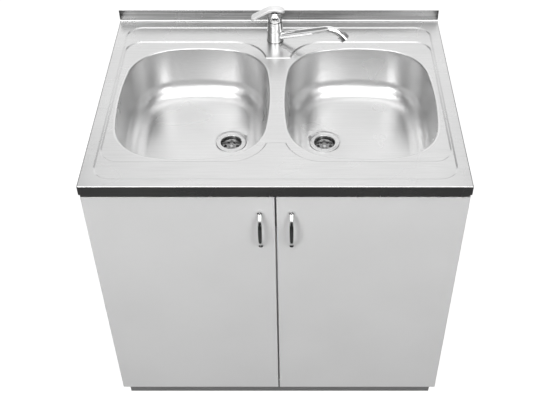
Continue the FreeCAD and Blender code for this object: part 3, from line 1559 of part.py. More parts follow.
def guide():
    """The fork that turns with the lever and carries the pin that the lever tilts on."""
    floor = "cartridge_top + running_fit"
    disc_top = f"{floor} + guide_gauge"
    disc = on_tap("guide_disc", (
        (0, f"{floor} - guide_spigot_length"),
        ("guide_spigot_radius", f"{floor} - guide_spigot_length"),
        ("guide_spigot_radius", floor),
        ("guide_radius", floor),
        ("guide_radius", disc_top),
        (0, disc_top),
    ))
    ears = []
    half = "stem_width / 2 + guide_ear_gap"
    for side, word in SIDES:
        y = f"tap_y + {half}" if side > 0 else f"tap_y - ({half}) - guide_ear_gauge"
        ears.append(box(f"guide_ear_{word}", ("tap_offset - stem_width / 2", "stem_width"),
                        (y, "guide_ear_gauge"),
                        (f"ledge_z + {disc_top}", f"pivot_height + stem_width / 2 - ({disc_top})")))
    length = f"2 * ({half} + guide_ear_gauge)"
    tilt_pin = rod("tilt_pin", "tilt_pin_radius", length, "tap_offset",
                   f"tap_y - ({length}) / 2", "ledge_z + pivot_height", "y")
    return join("cartridge_guide", disc, *ears, tilt_pin)


def lever_outlines():
    """The lever's side view, a bent strip, and its plan, which are cut with each other."""
    slope, gauge = "lever_slope", "lever_gauge"
    over = "(lever_shoulder_reach + lever_gauge)"
    far = f"(lever_reach + {gauge})"
    tip = f"(lever_shoulder_height - ({far} - lever_shoulder_reach) * tan({slope}))"
    side = outline(
        new_sketch(new_body("lever_side", "tap_offset", "tap_y", "ledge_z"), "strip", "XZ_Plane"),
        (f"-{far}", tip),
        ("-lever_shoulder_reach", "lever_shoulder_height", "lever_arc", -1),
        (over, f"lever_arc_height + sqrt(lever_arc ^ 2 - {over} ^ 2)"),
        (over, f"lever_arc_height + sqrt(lever_under_arc ^ 2 - {over} ^ 2)", "lever_under_arc", 1),
        (f"-lever_under_arc * sin({slope})", f"lever_arc_height + lever_under_arc * cos({slope})"),
        (f"-{far} + {gauge} * sin({slope})", f"{tip} - {gauge} * cos({slope})"),
    )
    plan_body = new_body("lever_plan", "tap_offset", "tap_y", "ledge_z")
    half, corner = "lever_width / 2", "lever_tip_radius"
    crown = f"lever_shoulder_reach - {half}"
    near_tip, flank = f"-lever_reach + {corner}", f"{half} - {corner}"
    plan = outline(
        new_sketch(plan_body, "outline", "XY_Plane", f"{tip} - {gauge}"),
        (near_tip, f"-{half}"),
        (crown, f"-{half}", half, 1),
        ("lever_shoulder_reach", 0, half, 1),
        (crown, half),
        (near_tip, half, corner, 1),
        ("-lever_reach", flank),
        ("-lever_reach", f"-({flank})", corner, 1),
    )
    return side, plan, plan_body, f"lever_top - ({tip}) + 2 * {gauge}"


def lever_top_height(x):
    """The height of the lever's upper face at a reach from the tap's axis."""
    if x < -number("lever_shoulder_reach"):
        drop = math.tan(math.radians(number("lever_slope")))
        return number("lever_shoulder_height") + (x + number("lever_shoulder_reach")) * drop
    return number("lever_arc_height") + math.sqrt(number("lever_arc") ** 2 - x**2)


def lever():
    """A bent strip over the dome, long to the left, with a stem that reaches down to the pin."""
    side, plan, plan_body, tall = lever_outlines()
    side_body = side.getParentGeoFeatureGroup()
    slab = side_body.newObject("PartDesign::Pad", "lever_strip")
    slab.Profile = side
    slab.Midplane = True
    bind(slab, "Length", "2 * lever_width")
    feature(plan_body, "Pad", "lever_plan_pad", plan, tall, 0, True)
    blank = common("lever_blank", side_body, plan_body)
    doc.recompute()

    middle = number("tap_offset")
    base = number("ledge_z")
    rounded = doc.addObject("Part::Fillet", "lever_rounded")
    rounded.Base = blank
    picked = []
    for index, edge in enumerate(blank.Shape.Edges, start=1):
        point = edge.valueAt((edge.FirstParameter + edge.LastParameter) / 2)
        on_top = abs(point.z - base - lever_top_height(point.x - middle)) < NEAR
        inside = edge.BoundBox.YLength > number("lever_width / 2") and edge.BoundBox.XLength < NEAR
        if on_top and not inside:
            picked.append((index, number("lever_edge"), number("lever_edge")))
    rounded.Edges = picked
    doc.recompute()

    stem_z = "ledge_z + pivot_height - stem_drop"
    stem = box("lever_stem", ("tap_offset - stem_width / 2", "stem_width"),
               ("tap_y - stem_width / 2", "stem_width"),
               (stem_z, "lever_top - lever_gauge / 2 - pivot_height + stem_drop"))
    bore = rod("lever_pin_bore", "tilt_pin_radius + running_fit", "2 * stem_width", "tap_offset",
               "tap_y - stem_width", "ledge_z + pivot_height", "y")
    return cut("lever", join("lever_whole", rounded, stem), bore)


def tap():
    nodes = tap_base()
    hoses = [hose(side, word) for side, word in SIDES]
    nodes["tap_hoses"] = group("tap_hoses", [made for made, _ in hoses])
    nodes["hose_nuts"] = group("hose_nuts", [nut for _, nut in hoses])
    nodes["spout"] = spout()
    nodes["aerator"] = aerator()
    spigot = "cartridge_top + running_fit - guide_spigot_length"
    nodes["cartridge"] = on_tap("cartridge", (
        (0, "cartridge_floor"),
        ("cartridge_radius", "cartridge_floor"),
        ("cartridge_radius", "cartridge_top"),
        ("guide_spigot_radius + running_fit", "cartridge_top"),
        ("guide_spigot_radius + running_fit", f"{spigot} - running_fit"),
        (0, f"{spigot} - running_fit"),
    ))
    nodes["cartridge_guide"] = guide()
    nodes["tap_dome"] = dome()
    nodes["lever"] = lever()
    return nodes


# The whole unit --------------------------------------------------------------------------------

nodes = {"sink_deck": sink_deck()}
for side, word in SIDES:
    nodes[f"bowl_{word}"] = bowl(side, word)
door_nodes, plate_bores = doors()
nodes.update(cabinet(plate_bores))
nodes.update(door_nodes)
nodes.update(wastes())
nodes.update(tap())
doc.recompute()

for thing in doc.Objects:
    if {"Invalid", "Error"} & set(thing.State):
        raise ValueError(f"{thing.Name} did not build: {thing.State}")

os.makedirs("parts", exist_ok=True)
for name, node in nodes.items():
    node.Label = name
    shape = node.Shape
    if shape.isNull() or not shape.isValid() or not shape.Solids:
        raise ValueError(f"{name} is not a sound solid")
    shape.exportStep(f"parts/{name}.step")
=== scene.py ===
import json
import math

import bmesh
import bpy
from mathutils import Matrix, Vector

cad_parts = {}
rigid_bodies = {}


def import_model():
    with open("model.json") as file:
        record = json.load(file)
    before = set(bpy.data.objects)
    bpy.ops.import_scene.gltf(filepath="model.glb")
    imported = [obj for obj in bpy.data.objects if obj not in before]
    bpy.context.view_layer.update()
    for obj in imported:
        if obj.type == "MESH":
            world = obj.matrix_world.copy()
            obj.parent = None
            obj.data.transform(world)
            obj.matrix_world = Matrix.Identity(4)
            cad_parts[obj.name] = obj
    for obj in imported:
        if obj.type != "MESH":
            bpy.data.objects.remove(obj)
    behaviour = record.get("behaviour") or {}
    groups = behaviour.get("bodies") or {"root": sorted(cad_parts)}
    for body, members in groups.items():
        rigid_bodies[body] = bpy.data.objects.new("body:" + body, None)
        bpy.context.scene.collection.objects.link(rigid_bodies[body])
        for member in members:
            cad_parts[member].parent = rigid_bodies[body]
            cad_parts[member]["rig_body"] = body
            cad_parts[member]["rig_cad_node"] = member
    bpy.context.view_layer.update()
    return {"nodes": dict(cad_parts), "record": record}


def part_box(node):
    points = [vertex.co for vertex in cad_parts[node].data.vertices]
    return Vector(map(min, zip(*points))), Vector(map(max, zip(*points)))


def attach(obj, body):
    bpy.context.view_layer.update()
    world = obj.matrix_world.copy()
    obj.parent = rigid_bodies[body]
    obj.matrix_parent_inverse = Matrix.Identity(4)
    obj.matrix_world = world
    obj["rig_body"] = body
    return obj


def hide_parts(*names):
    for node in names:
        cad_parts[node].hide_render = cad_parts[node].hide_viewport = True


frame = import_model()
NODES = frame["nodes"]

# The worktop's front edge and its height, in metres.
FRONT_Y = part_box("sink_deck")[0].y
TOP_Z = 0.8

# The part of a noise's range that its values mostly keep to.
NOISE_LOW, NOISE_HIGH = 0.35, 0.65


# Shared effects ------------------------------------------------------------------------------


def new_effect(name, inputs, outputs):
    """An empty shader group with value inputs, given as (name, default), and named outputs."""
    effect = bpy.data.node_groups.new(name, "ShaderNodeTree")
    for label, default in inputs:
        socket = effect.interface.new_socket(label, in_out="INPUT", socket_type="NodeSocketFloat")
        socket.default_value = default
    for label in outputs:
        effect.interface.new_socket(label, in_out="OUTPUT", socket_type="NodeSocketFloat")
    return effect, effect.nodes.new("NodeGroupInput"), effect.nodes.new("NodeGroupOutput")


def brushing():
    """Fine lines that run along X, with slow drifts in how strongly they show."""
    effect, given, result = new_effect("brushed_lines", [("Fineness", 900.0)], ["Lines", "Drift"])
    nodes, links = effect.nodes, effect.links
    place = nodes.new("ShaderNodeTexCoord")
    stretch = nodes.new("ShaderNodeMapping")
    stretch.inputs["Scale"].default_value = (0.012, 1.0, 1.0)
    lines = nodes.new("ShaderNodeTexNoise")
    lines.inputs["Detail"].default_value = 3.0
    lines.inputs["Roughness"].default_value = 0.6
    links.new(place.outputs["Object"], stretch.inputs["Vector"])
    links.new(stretch.outputs["Vector"], lines.inputs["Vector"])
    links.new(given.outputs["Fineness"], lines.inputs["Scale"])
    links.new(lines.outputs["Fac"], result.inputs["Lines"])
    drift = nodes.new("ShaderNodeTexNoise")
    drift.inputs["Scale"].default_value = 7.0
    drift.inputs["Detail"].default_value = 2.0
    links.new(place.outputs["Object"], drift.inputs["Vector"])
    links.new(drift.outputs["Fac"], result.inputs["Drift"])
    return effect


def mottling():
    """An even fine grain with larger soft patches, as on laminate, plastic and rubber."""
    effect, given, result = new_effect(
        "fine_grain", [("Grain Scale", 1400.0), ("Patch Scale", 9.0)], ["Grain", "Patches"]
    )
    nodes, links = effect.nodes, effect.links
    place = nodes.new("ShaderNodeTexCoord")
    for label, size, output in (
        ("grain", "Grain Scale", "Grain"),
        ("patches", "Patch Scale", "Patches"),
    ):
        noise = nodes.new("ShaderNodeTexNoise")
        noise.name = label
        noise.inputs["Detail"].default_value = 3.0
        links.new(place.outputs["Object"], noise.inputs["Vector"])
        links.new(given.outputs[size], noise.inputs["Scale"])
        links.new(noise.outputs["Fac"], result.inputs[output])
    return effect


def wood_figure():
    """Long wavy fibres along X for bare wood."""
    effect, given, result = new_effect("wood_fibres", [("Fibre Scale", 120.0)], ["Fibres"])
    nodes, links = effect.nodes, effect.links
    place = nodes.new("ShaderNodeTexCoord")
    stretch = nodes.new("ShaderNodeMapping")
    stretch.inputs["Scale"].default_value = (0.08, 1.0, 1.0)
    noise = nodes.new("ShaderNodeTexNoise")
    noise.inputs["Detail"].default_value = 5.0
    noise.inputs["Distortion"].default_value = 0.6
    links.new(place.outputs["Object"], stretch.inputs["Vector"])
    links.new(stretch.outputs["Vector"], noise.inputs["Vector"])
    links.new(given.outputs["Fibre Scale"], noise.inputs["Scale"])
    links.new(noise.outputs["Fac"], result.inputs["Fibres"])
    return effect


def wire_braid():
    """Two sets of slanting wires that cross, as in the sleeve of a tap hose."""
    effect, given, result = new_effect("wire_braid", [("Wire Scale", 260.0)], ["Wires"])
    nodes, links = effect.nodes, effect.links
    place = nodes.new("ShaderNodeTexCoord")
    cross = nodes.new("ShaderNodeMath")
    cross.operation = "MAXIMUM"
    for row, slant in enumerate((45.0, -45.0)):
        turn = nodes.new("ShaderNodeMapping")
        turn.inputs["Rotation"].default_value = (math.radians(slant), math.radians(slant), 0.0)
        wave = nodes.new("ShaderNodeTexWave")
        wave.bands_direction = "Z"
        links.new(place.outputs["Object"], turn.inputs["Vector"])
        links.new(turn.outputs["Vector"], wave.inputs["Vector"])
        links.new(given.outputs["Wire Scale"], wave.inputs["Scale"])
        links.new(wave.outputs["Fac"], cross.inputs[row])
    links.new(cross.outputs["Value"], result.inputs["Wires"])
    return effect


BRUSHING = brushing()
MOTTLING = mottling()
WOOD_FIGURE = wood_figure()
WIRE_BRAID = wire_braid()


# Materials -----------------------------------------------------------------------------------


def new_material(name, roughness, metallic=0.0):
    """A material with one Principled shader; returns its nodes, links and shader."""
    material = bpy.data.materials.new(name)
    material.use_nodes = True
    nodes, links = material.node_tree.nodes, material.node_tree.links
    shader = nodes["Principled BSDF"]
    shader.inputs["Roughness"].default_value = roughness
    shader.inputs["Metallic"].default_value = metallic
    return material, nodes, links, shader


def place_effect(nodes, effect, **values):
    """Puts a shared effect into a material, with the material's own values."""
    node = nodes.new("ShaderNodeGroup")
    node.node_tree = effect
    for label, value in values.items():
        node.inputs[label.replace("_", " ").title()].default_value = value
    return node


def spread(nodes, links, source, low, high):
    """Maps a noise value onto low to high."""
    node = nodes.new("ShaderNodeMapRange")
    node.inputs["From Min"].default_value = NOISE_LOW
    node.inputs["From Max"].default_value = NOISE_HIGH
    node.inputs["To Min"].default_value = low
    node.inputs["To Max"].default_value = high
    links.new(source, node.inputs["Value"])
    return node.outputs["Result"]


def shade(nodes, links, source, dark, light):
    """A colour that moves from dark to light with a noise value."""
    node = nodes.new("ShaderNodeValToRGB")
    node.color_ramp.elements[0].position = NOISE_LOW
    node.color_ramp.elements[1].position = NOISE_HIGH
    node.color_ramp.elements[0].color = (*dark, 1.0)
    node.color_ramp.elements[1].color = (*light, 1.0)
    links.new(source, node.inputs["Fac"])
    return node.outputs["Color"]


def relief(nodes, links, source, shader, strength, depth):
    """Fine relief that only the light shows, its depth in metres."""
    bump = nodes.new("ShaderNodeBump")
    bump.inputs["Strength"].default_value = strength
    bump.inputs["Distance"].default_value = depth
    links.new(source, bump.inputs["Height"])
    links.new(bump.outputs["Normal"], shader.inputs["Normal"])


def brushed_metal(name, dark, light, rough_low, rough_high, fineness, strength):
    """Sheet metal with fine brushed lines along its width."""
    material, nodes, links, shader = new_material(name, rough_low, 1.0)
    brush = place_effect(nodes, BRUSHING, fineness=fineness)
    links.new(shade(nodes, links, brush.outputs["Lines"], dark, light), shader.inputs["Base Color"])
    links.new(
        spread(nodes, links, brush.outputs["Drift"], rough_low, rough_high),
        shader.inputs["Roughness"],
    )
    relief(nodes, links, brush.outputs["Lines"], shader, strength, 0.0002)
    return material


# How far below the top of its flange the waste's steel starts to darken with painted shade, and is
# fully darkened.
PAINTED_SHADE_START = 0.002
PAINTED_SHADE_FULL = 0.006


def recess_shaded_steel(name, dark, light, recess_shade):
    """Brushed steel with painted shade that darkens it below the waste's flange, down in its
    recess.
    """
    material = brushed_metal(name, dark, light, 0.16, 0.24, 1200.0, 0.03)
    nodes, links = material.node_tree.nodes, material.node_tree.links
    shader = nodes["Principled BSDF"]
    top_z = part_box("waste_flange_left")[1].z
    place = nodes.new("ShaderNodeTexCoord")
    split = nodes.new("ShaderNodeSeparateXYZ")
    depth = nodes.new("ShaderNodeMapRange")
    depth.inputs["From Min"].default_value = top_z - PAINTED_SHADE_START
    depth.inputs["From Max"].default_value = top_z - PAINTED_SHADE_FULL
    mix = nodes.new("ShaderNodeMix")
    mix.data_type = "RGBA"
    mix.inputs["B"].default_value = (*recess_shade, 1.0)
    links.new(place.outputs["Object"], split.inputs["Vector"])
    links.new(split.outputs["Z"], depth.inputs["Value"])
    links.new(depth.outputs["Result"], mix.inputs["Factor"])
    links.new(shader.inputs["Base Color"].links[0].from_socket, mix.inputs["A"])
    links.new(mix.outputs["Result"], shader.inputs["Base Color"])
    return material


def plated_metal(name, dark, light, rough_low, rough_high, strength=0.02, metallic=1.0):
    """Smooth plated or satin metal with faint wiping marks."""
    material, nodes, links, shader = new_material(name, rough_low, metallic)
    grain = place_effect(nodes, MOTTLING, grain_scale=1800.0, patch_scale=40.0)
    links.new(
        shade(nodes, links, grain.outputs["Patches"], dark, light), shader.inputs["Base Color"]
    )
    links.new(
        spread(nodes, links, grain.outputs["Patches"], rough_low, rough_high),
        shader.inputs["Roughness"],
    )
    relief(nodes, links, grain.outputs["Grain"], shader, strength, 0.00005)
    return material


def moulded(name, dark, light, rough_low, rough_high, grain, strength, coat=0.0):
    """Laminate, plastic, paint or rubber: an even colour, a fine grain, uneven gloss."""
    material, nodes, links, shader = new_material(name, rough_low)
    shader.inputs["Coat Weight"].default_value = coat
    shader.inputs["Coat Roughness"].default_value = 0.25
    cover = place_effect(nodes, MOTTLING, grain_scale=grain, patch_scale=6.0)
    links.new(
        shade(nodes, links, cover.outputs["Patches"], dark, light), shader.inputs["Base Color"]
    )
    links.new(
        spread(nodes, links, cover.outputs["Patches"], rough_low, rough_high),
        shader.inputs["Roughness"],
    )
    relief(nodes, links, cover.outputs["Grain"], shader, strength, 0.0001)
    return material


def bare_wood(name, dark, light):
    """Turned wood without varnish."""
    material, nodes, links, shader = new_material(name, 0.6)
    figure = place_effect(nodes, WOOD_FIGURE, fibre_scale=160.0)
    links.new(
        shade(nodes, links, figure.outputs["Fibres"], dark, light), shader.inputs["Base Color"]
    )
    relief(nodes, links, figure.outputs["Fibres"], shader, 0.2, 0.0002)
    return material


def braided_sleeve(name, dark, light):
    """The woven steel wire round a water hose."""
    material, nodes, links, shader = new_material(name, 0.3, 1.0)
    braid = place_effect(nodes, WIRE_BRAID, wire_scale=260.0)
    links.new(shade(nodes, links, braid.outputs["Wires"], dark, light), shader.inputs["Base Color"])
    relief(nodes, links, braid.outputs["Wires"], shader, 0.5, 0.0004)
    return material


def grey(value, tint=0.0):
    """A grey as written on screen, 0 to 255, in linear light, slightly cool with tint."""
    level = value / 255
    linear = level / 12.92 if level <= 0.04045 else ((level + 0.055) / 1.055) ** 2.4
    return (linear * (1 - tint), linear, linear * (1 + tint))


worktop_steel = brushed_metal("worktop_steel", grey(196), grey(206), 0.24, 0.32, 900.0, 0.03)
# The upstand's greys are painted shade: the same sheet as the worktop, made darker for the dim
# reflection its upright face shows; its coarser brushing is the sheet's own.
upstand_shaded_steel = brushed_metal("upstand_shaded_steel", grey(118), grey(168), 0.2, 0.34, 300.0, 0.15)
bowl_steel = brushed_metal("bowl_steel", grey(205), grey(211), 0.27, 0.34, 700.0, 0.02)
# The last grey is painted shade, darkening the waste's recess below its flange.
drain_steel = recess_shaded_steel("drain_steel", grey(190), grey(204), grey(132))
bracket_steel = brushed_metal("bracket_steel", grey(170), grey(195), 0.25, 0.4, 1400.0, 0.05)
screw_steel = plated_metal("screw_steel", grey(175), grey(200), 0.22, 0.35)
tap_chrome = plated_metal("tap_chrome", grey(222), grey(232), 0.04, 0.09)
handle_chrome = plated_metal("handle_chrome", grey(222), grey(232), 0.06, 0.12)
lever_satin = plated_metal("lever_satin", grey(222), grey(232), 0.4, 0.5, 0.03, 0.5)
tap_brass = plated_metal("tap_brass", (0.5, 0.36, 0.14), (0.6, 0.44, 0.18), 0.25, 0.4)
door_laminate = moulded("door_laminate", grey(219), grey(222), 0.36, 0.44, 1500.0, 0.06, 0.15)
carcass_laminate = moulded("carcass_laminate", grey(214), grey(220), 0.45, 0.55, 1500.0, 0.06)
plinth_laminate = moulded("plinth_laminate", grey(132), grey(138), 0.45, 0.55, 1300.0, 0.08)
back_hardboard = moulded("back_hardboard", grey(205), grey(214), 0.55, 0.7, 700.0, 0.2)
waste_plastic = moulded("waste_plastic", grey(222), grey(230), 0.3, 0.4, 900.0, 0.05)
cartridge_plastic = moulded("cartridge_plastic", grey(215), grey(225), 0.3, 0.4, 900.0, 0.05)
glide_plastic = moulded("glide_plastic", grey(35), grey(48), 0.4, 0.55, 900.0, 0.2)
seal_rubber = moulded("seal_rubber", grey(22), grey(32), 0.6, 0.8, 1000.0, 0.25)
bumper_rubber = moulded("bumper_rubber", grey(205), grey(215), 0.5, 0.6, 1000.0, 0.1)
beech = bare_wood("beech", (0.45, 0.29, 0.15), (0.62, 0.43, 0.25))
hose_braid = braided_sleeve("hose_braid", grey(95), grey(205))
nut_plated = plated_metal("nut_plated", grey(200), grey(215), 0.12, 0.22)

FINISHES = {
    "worktop_steel": worktop_steel,
    "bowl_steel": bowl_steel,
    "carcass_board": carcass_laminate,
    "back_board": back_hardboard,
    "plinth_grey": plinth_laminate,
    "dowel_wood": beech,
    "glide_plastic": glide_plastic,
    "bumper_rubber": bumper_rubber,
    "bracket_steel": bracket_steel,
    "screw_steel": screw_steel,
    "door_grey": door_laminate,
    "handle_chrome": handle_chrome,
    "waste_steel": drain_steel,
    "seal_rubber": seal_rubber,
    "waste_plastic": waste_plastic,
    "tap_chrome": tap_chrome,
    "lever_satin": lever_satin,
    "cartridge_plastic": cartridge_plastic,
    "tap_fixing": tap_brass,
    "hose_braid": hose_braid,
    "nut_plated": nut_plated,
}


SLOTS = {entry["node"]: entry["material_slot"] for entry in frame["record"]["subparts"]}


def finish_cad_nodes():
    """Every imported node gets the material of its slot."""
    for node_name, slot in SLOTS.items():
        node = NODES[node_name]
        node.data.materials.clear()
        node.data.materials.append(FINISHES[slot])


finish_cad_nodes()


# Smooth copies of the pressed, cast and moulded pieces -----------------------------------------

# Faces that meet at less than this many degrees are shaded as one surface.
SMOOTH_ANGLE = 32
# How level a face is, by its normal's z: the flat land, and the slope of a pressed step.
LAND_LEVEL = 0.999
SLOPE_LEVEL_LOW, SLOPE_LEVEL_HIGH = 0.83, 0.9
# The upstand's front face, which takes the painted shade: how squarely it faces the front, and
# where it starts.
UPSTAND_FACING = -0.9
UPSTAND_Z = TOP_Z + 0.002
UPSTAND_Y = 0.2


def deselect():
    bpy.ops.object.select_all(action="DESELECT")


def crease_steps(mesh):
    """Keeps the worktop's pressed steps crisp, where flat land meets their 30 degree slope."""
    work = bmesh.new()
    work.from_mesh(mesh)
    for edge in work.edges:
        rises = sorted(abs(face.normal.z) for face in edge.link_faces)
        if len(rises) != 2:
            continue
        slope, land = rises
        if land > LAND_LEVEL and SLOPE_LEVEL_LOW < slope < SLOPE_LEVEL_HIGH:
            edge.smooth = False
    work.to_mesh(mesh)
    work.free()


def shade_upstand_face(copy):
    """The upstand's face keeps the coarse brushing of the sheet, with painted shade: darker greys
    than the pressed top, for the dim reflection its upright face shows.
    """
    copy.data.materials.append(upstand_shaded_steel)
    for face in copy.data.polygons:
        behind = face.center.z > UPSTAND_Z and face.center.y > UPSTAND_Y
        if behind and face.normal.y < UPSTAND_FACING:
            face.material_index = 1


def smooth_copy(node_name):
    """A welded, smoothly shaded copy that stands for a node."""
    source = NODES[node_name]
    deselect()
    copy = source.copy()
    copy.data = source.data.copy()
    copy.name = f"{node_name}_surface"
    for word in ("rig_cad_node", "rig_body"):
        if word in copy:
            del copy[word]
    copy.parent = None
    bpy.context.scene.collection.objects.link(copy)
    bpy.context.view_layer.objects.active = copy
    copy.select_set(True)
    bpy.ops.object.mode_set(mode="EDIT")
    bpy.ops.mesh.select_all(action="SELECT")
    bpy.ops.mesh.remove_doubles(threshold=0.000005)
    bpy.ops.object.mode_set(mode="OBJECT")
    bpy.ops.object.shade_smooth_by_angle(angle=math.radians(SMOOTH_ANGLE))
    if node_name == "sink_deck":
        crease_steps(copy.data)
        shade_upstand_face(copy)
    level = copy.modifiers.new("level_faces", "WEIGHTED_NORMAL")
    level.keep_sharp = True
    level.weight = 100
    bpy.ops.object.modifier_apply(modifier=level.name)
    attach(copy, source["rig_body"])
    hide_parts(node_name)
    copy.select_set(False)


SMOOTH_PIECES = (
    "sink_deck", "bowl_left", "bowl_right", "waste_flange_left", "waste_flange_right",
    "handle_left", "handle_right", "spout", "aerator", "tap_body", "tap_base_ring",
    "tap_dome", "lever", "waste_body_left", "waste_body_right", "waste_tee", "trap_body",
    "trap_cup", "outlet_pipe", "tap_hoses", "hose_nuts",
)
for piece_name in SMOOTH_PIECES:
    smooth_copy(piece_name)


# Studio ----------------------------------------------------------------------------------------

FLOOR_SIZE = 30.0
FLOOR_GREY = (0.25, 0.25, 0.25)
# What the floor gives off itself, for the rays that see it.
FLOOR_GLOW = 0.88
# The room's light below and above the horizon.
ROOM_LOW = (0.1, 0.1, 0.1)
ROOM_HIGH = (0.55, 0.55, 0.55)
BLACK = (0.0, 0.0, 0.0)


def seen_directly(nodes, links):
    """One for the rays that the camera sends, also by way of metal and glass."""
    path = nodes.new("ShaderNodeLightPath")
    total = path.outputs["Is Camera Ray"]
    for label in ("Is Glossy Ray", "Is Transmission Ray"):
        either = nodes.new("ShaderNodeMath")
        either.operation = "MAXIMUM"
        links.new(total, either.inputs[0])
        links.new(path.outputs[label], either.inputs[1])
        total = either.outputs["Value"]
    return total


def stage_floor():
    """A pale floor that is white to the camera where no shadow falls."""
    deselect()
    bpy.ops.mesh.primitive_plane_add(size=FLOOR_SIZE, location=(0.0, 0.0, 0.0))
    floor = bpy.context.object
    floor.name = "studio_floor"
    material, nodes, links, shader = new_material("studio_floor", 0.9)
    shader.inputs["Base Color"].default_value = (*FLOOR_GREY, 1.0)
    glow = nodes.new("ShaderNodeEmission")
    glow.inputs["Strength"].default_value = FLOOR_GLOW
    both = nodes.new("ShaderNodeAddShader")
    choose = nodes.new("ShaderNodeMixShader")
    output = nodes["Material Output"]
    links.new(shader.outputs["BSDF"], both.inputs[0])
    links.new(glow.outputs["Emission"], both.inputs[1])
    links.new(seen_directly(nodes, links), choose.inputs["Fac"])
    links.new(shader.outputs["BSDF"], choose.inputs[1])
    links.new(both.outputs["Shader"], choose.inputs[2])
    links.new(choose.outputs["Shader"], output.inputs["Surface"])
    floor.data.materials.append(material)


def seen_in_metal_only(name, cards, colour, glow):
    """Studio cards that only polished metal shows: dark for its edges, bright for its sheen."""
    corners = [corner for card in cards for corner in card]
    faces = [tuple(range(4 * row, 4 * row + 4)) for row in range(len(cards))]
    mesh = bpy.data.meshes.new(name)
    mesh.from_pydata(corners, [], faces)
    board = bpy.data.objects.new(name, mesh)
    bpy.context.scene.collection.objects.link(board)
    material, nodes, links, shader = new_material(name, 0.9)
    shader.inputs["Base Color"].default_value = (*colour, 1.0)
    shader.inputs["Specular IOR Level"].default_value = 0.0
    shader.inputs["Emission Color"].default_value = (1.0, 1.0, 1.0, 1.0)
    shader.inputs["Emission Strength"].default_value = glow
    mesh.materials.append(material)
    board.visible_camera = False
    board.visible_diffuse = False
    board.visible_transmission = False
    board.visible_shadow = False


def upright_card(x0, y0, x1, y1, low, high):
    """A card that stands over a line on the floor, from one height to another."""
    return [(x0, y0, low), (x1, y1, low), (x1, y1, high), (x0, y0, high)]


def studio_world():
    """White where it is seen; otherwise a soft grey room that is brighter overhead."""
    world = bpy.data.worlds.new("studio")
    bpy.context.scene.world = world
    world.use_nodes = True
    nodes, links = world.node_tree.nodes, world.node_tree.links
    background = nodes["Background"]
    place = nodes.new("ShaderNodeTexCoord")
    split = nodes.new("ShaderNodeSeparateXYZ")
    room = nodes.new("ShaderNodeValToRGB")
    ramp = room.color_ramp
    ramp.elements[0].position = 0.0
    ramp.elements[0].color = (*ROOM_LOW, 1.0)
    ramp.elements[1].position = 1.0
    ramp.elements[1].color = (*ROOM_HIGH, 1.0)
    raise_half = nodes.new("ShaderNodeMapRange")
    raise_half.inputs["From Min"].default_value = -1.0
    raise_half.inputs["From Max"].default_value = 1.0
    choose = nodes.new("ShaderNodeMix")
    choose.data_type = "RGBA"
    choose.inputs["B"].default_value = (1.0, 1.0, 1.0, 1.0)
    links.new(place.outputs["Generated"], split.inputs["Vector"])
    links.new(split.outputs["Z"], raise_half.inputs["Value"])
    links.new(raise_half.outputs["Result"], room.inputs["Fac"])
    links.new(room.outputs["Color"], choose.inputs["A"])
    links.new(seen_directly(nodes, links), choose.inputs["Factor"])
    links.new(choose.outputs["Result"], background.inputs["Color"])
    background.inputs["Strength"].default_value = 1.0


def soft_box(name, location, target, size, power, sheen):
    """A soft lamp; metal shows its face as a plain bright card of the given sheen."""
    light = bpy.data.lights.new(name, "AREA")
    light.shape = "RECTANGLE"
    light.size, light.size_y = size
    light.energy = power
    lamp = bpy.data.objects.new(name, light)
    bpy.context.scene.collection.objects.link(lamp)
    lamp.location = location
    turn = (Vector(target) - Vector(location)).to_track_quat("-Z", "Y")
    lamp.rotation_euler = turn.to_euler()
    lamp.visible_glossy = False
    half_x, half_y = size[0] / 2, size[1] / 2
    face = []
    for x, y in ((-half_x, -half_y), (half_x, -half_y), (half_x, half_y), (-half_x, half_y)):
        face.append(tuple(Vector(location) + turn @ Vector((x, y, 0.0))))
    seen_in_metal_only(f"{name}_face", [face], BLACK, sheen)


# The photograph's camera: its lens in pixels, its tilt, and its place before the worktop.
PHOTO_WIDTH = 550
LENS_PIXELS = 873.9
PITCH = 43.44
CENTRE_SHIFT = 19.2
CAMERA_BEFORE_EDGE = 1.2923
CAMERA_ABOVE_TOP = 1.1875
CAMERA_X = 0.0385


def photo_camera():
    data = bpy.data.cameras.new("photo_camera")
    data.sensor_width = 36.0
    data.lens = LENS_PIXELS / PHOTO_WIDTH * data.sensor_width
    data.shift_x = -CENTRE_SHIFT / PHOTO_WIDTH
    camera = bpy.data.objects.new("photo_camera", data)
    bpy.context.scene.collection.objects.link(camera)
    camera.location = (CAMERA_X, FRONT_Y - CAMERA_BEFORE_EDGE, TOP_Z + CAMERA_ABOVE_TOP)
    camera.rotation_euler = (math.radians(90 - PITCH), 0.0, 0.0)
    bpy.context.scene.camera = camera


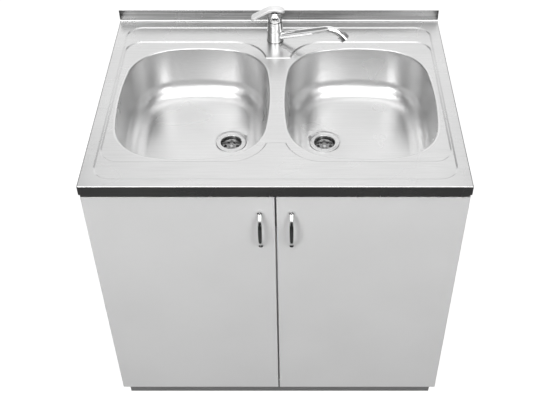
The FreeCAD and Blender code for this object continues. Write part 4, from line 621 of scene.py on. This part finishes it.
# The cards' own places and light levels. The dark ones lie just over the floor and stand before
# and beside the unit; the bright ones stand far behind it and above the photographer.
REACH = 4
CARD_LIFT = 0.004
FLAG_GREY = (0.045, 0.045, 0.045)
FRONT_FLAG_TOP = 2.0
SIDE_X, SIDE_START, SIDE_TOP = 3, -1.4, 6.0
BACK_Y, BACK_INNER, BACK_TOP = 3.8, 1.9, 6.5
SIDE_GLOW = 0.3
BACK_SHEEN_Y, BACK_SHEEN_LOW, BACK_SHEEN_TOP, BACK_SHEEN = 3.7, 0.7, 7.0, 1.3
FRONT_SHEEN_Y, FRONT_SHEEN_LOW, FRONT_SHEEN_TOP, FRONT_SHEEN = -3.9, 2.2, 8.0, 1.75
FRONT_SHEEN_X = 2.5

stage_floor()
studio_world()
floor_card = [
    (x, y, CARD_LIFT)
    for x, y in ((-REACH, -REACH), (REACH, -REACH), (REACH, REACH), (-REACH, REACH))
]
front_card = upright_card(-REACH, -REACH, REACH, -REACH, 0, FRONT_FLAG_TOP)
side_cards = [
    upright_card(-REACH, BACK_Y, -BACK_INNER, BACK_Y, 0, BACK_TOP),
    upright_card(BACK_INNER, BACK_Y, REACH, BACK_Y, 0, BACK_TOP),
    upright_card(-SIDE_X, SIDE_START, -SIDE_X, BACK_Y, 0, SIDE_TOP),
    upright_card(SIDE_X, SIDE_START, SIDE_X, BACK_Y, 0, SIDE_TOP),
]
back_card = upright_card(
    -BACK_INNER, BACK_SHEEN_Y, BACK_INNER, BACK_SHEEN_Y, BACK_SHEEN_LOW, BACK_SHEEN_TOP
)
high_card = upright_card(
    -FRONT_SHEEN_X, FRONT_SHEEN_Y, FRONT_SHEEN_X, FRONT_SHEEN_Y, FRONT_SHEEN_LOW, FRONT_SHEEN_TOP
)
seen_in_metal_only("dark_flags", [floor_card, front_card], FLAG_GREY, 0.0)
seen_in_metal_only("side_flags", side_cards, BLACK, SIDE_GLOW)
seen_in_metal_only("back_sheen", [back_card], BLACK, BACK_SHEEN)
seen_in_metal_only("front_sheen", [high_card], BLACK, FRONT_SHEEN)
soft_box("overhead", (0.0, -0.35, 2.7), (0.0, -0.3, 0.8), (2.2, 0.9), 20.0, 3.0)
soft_box("front_left", (-1.4, -2.2, 2.3), (0.0, -0.2, 0.6), (1.0, 1.2), 38.0, 5.0)
soft_box("front_right", (1.4, -2.2, 2.3), (0.0, -0.2, 0.6), (1.0, 1.2), 29.0, 5.0)
photo_camera()
bpy.context.scene.view_settings.view_transform = "Standard"
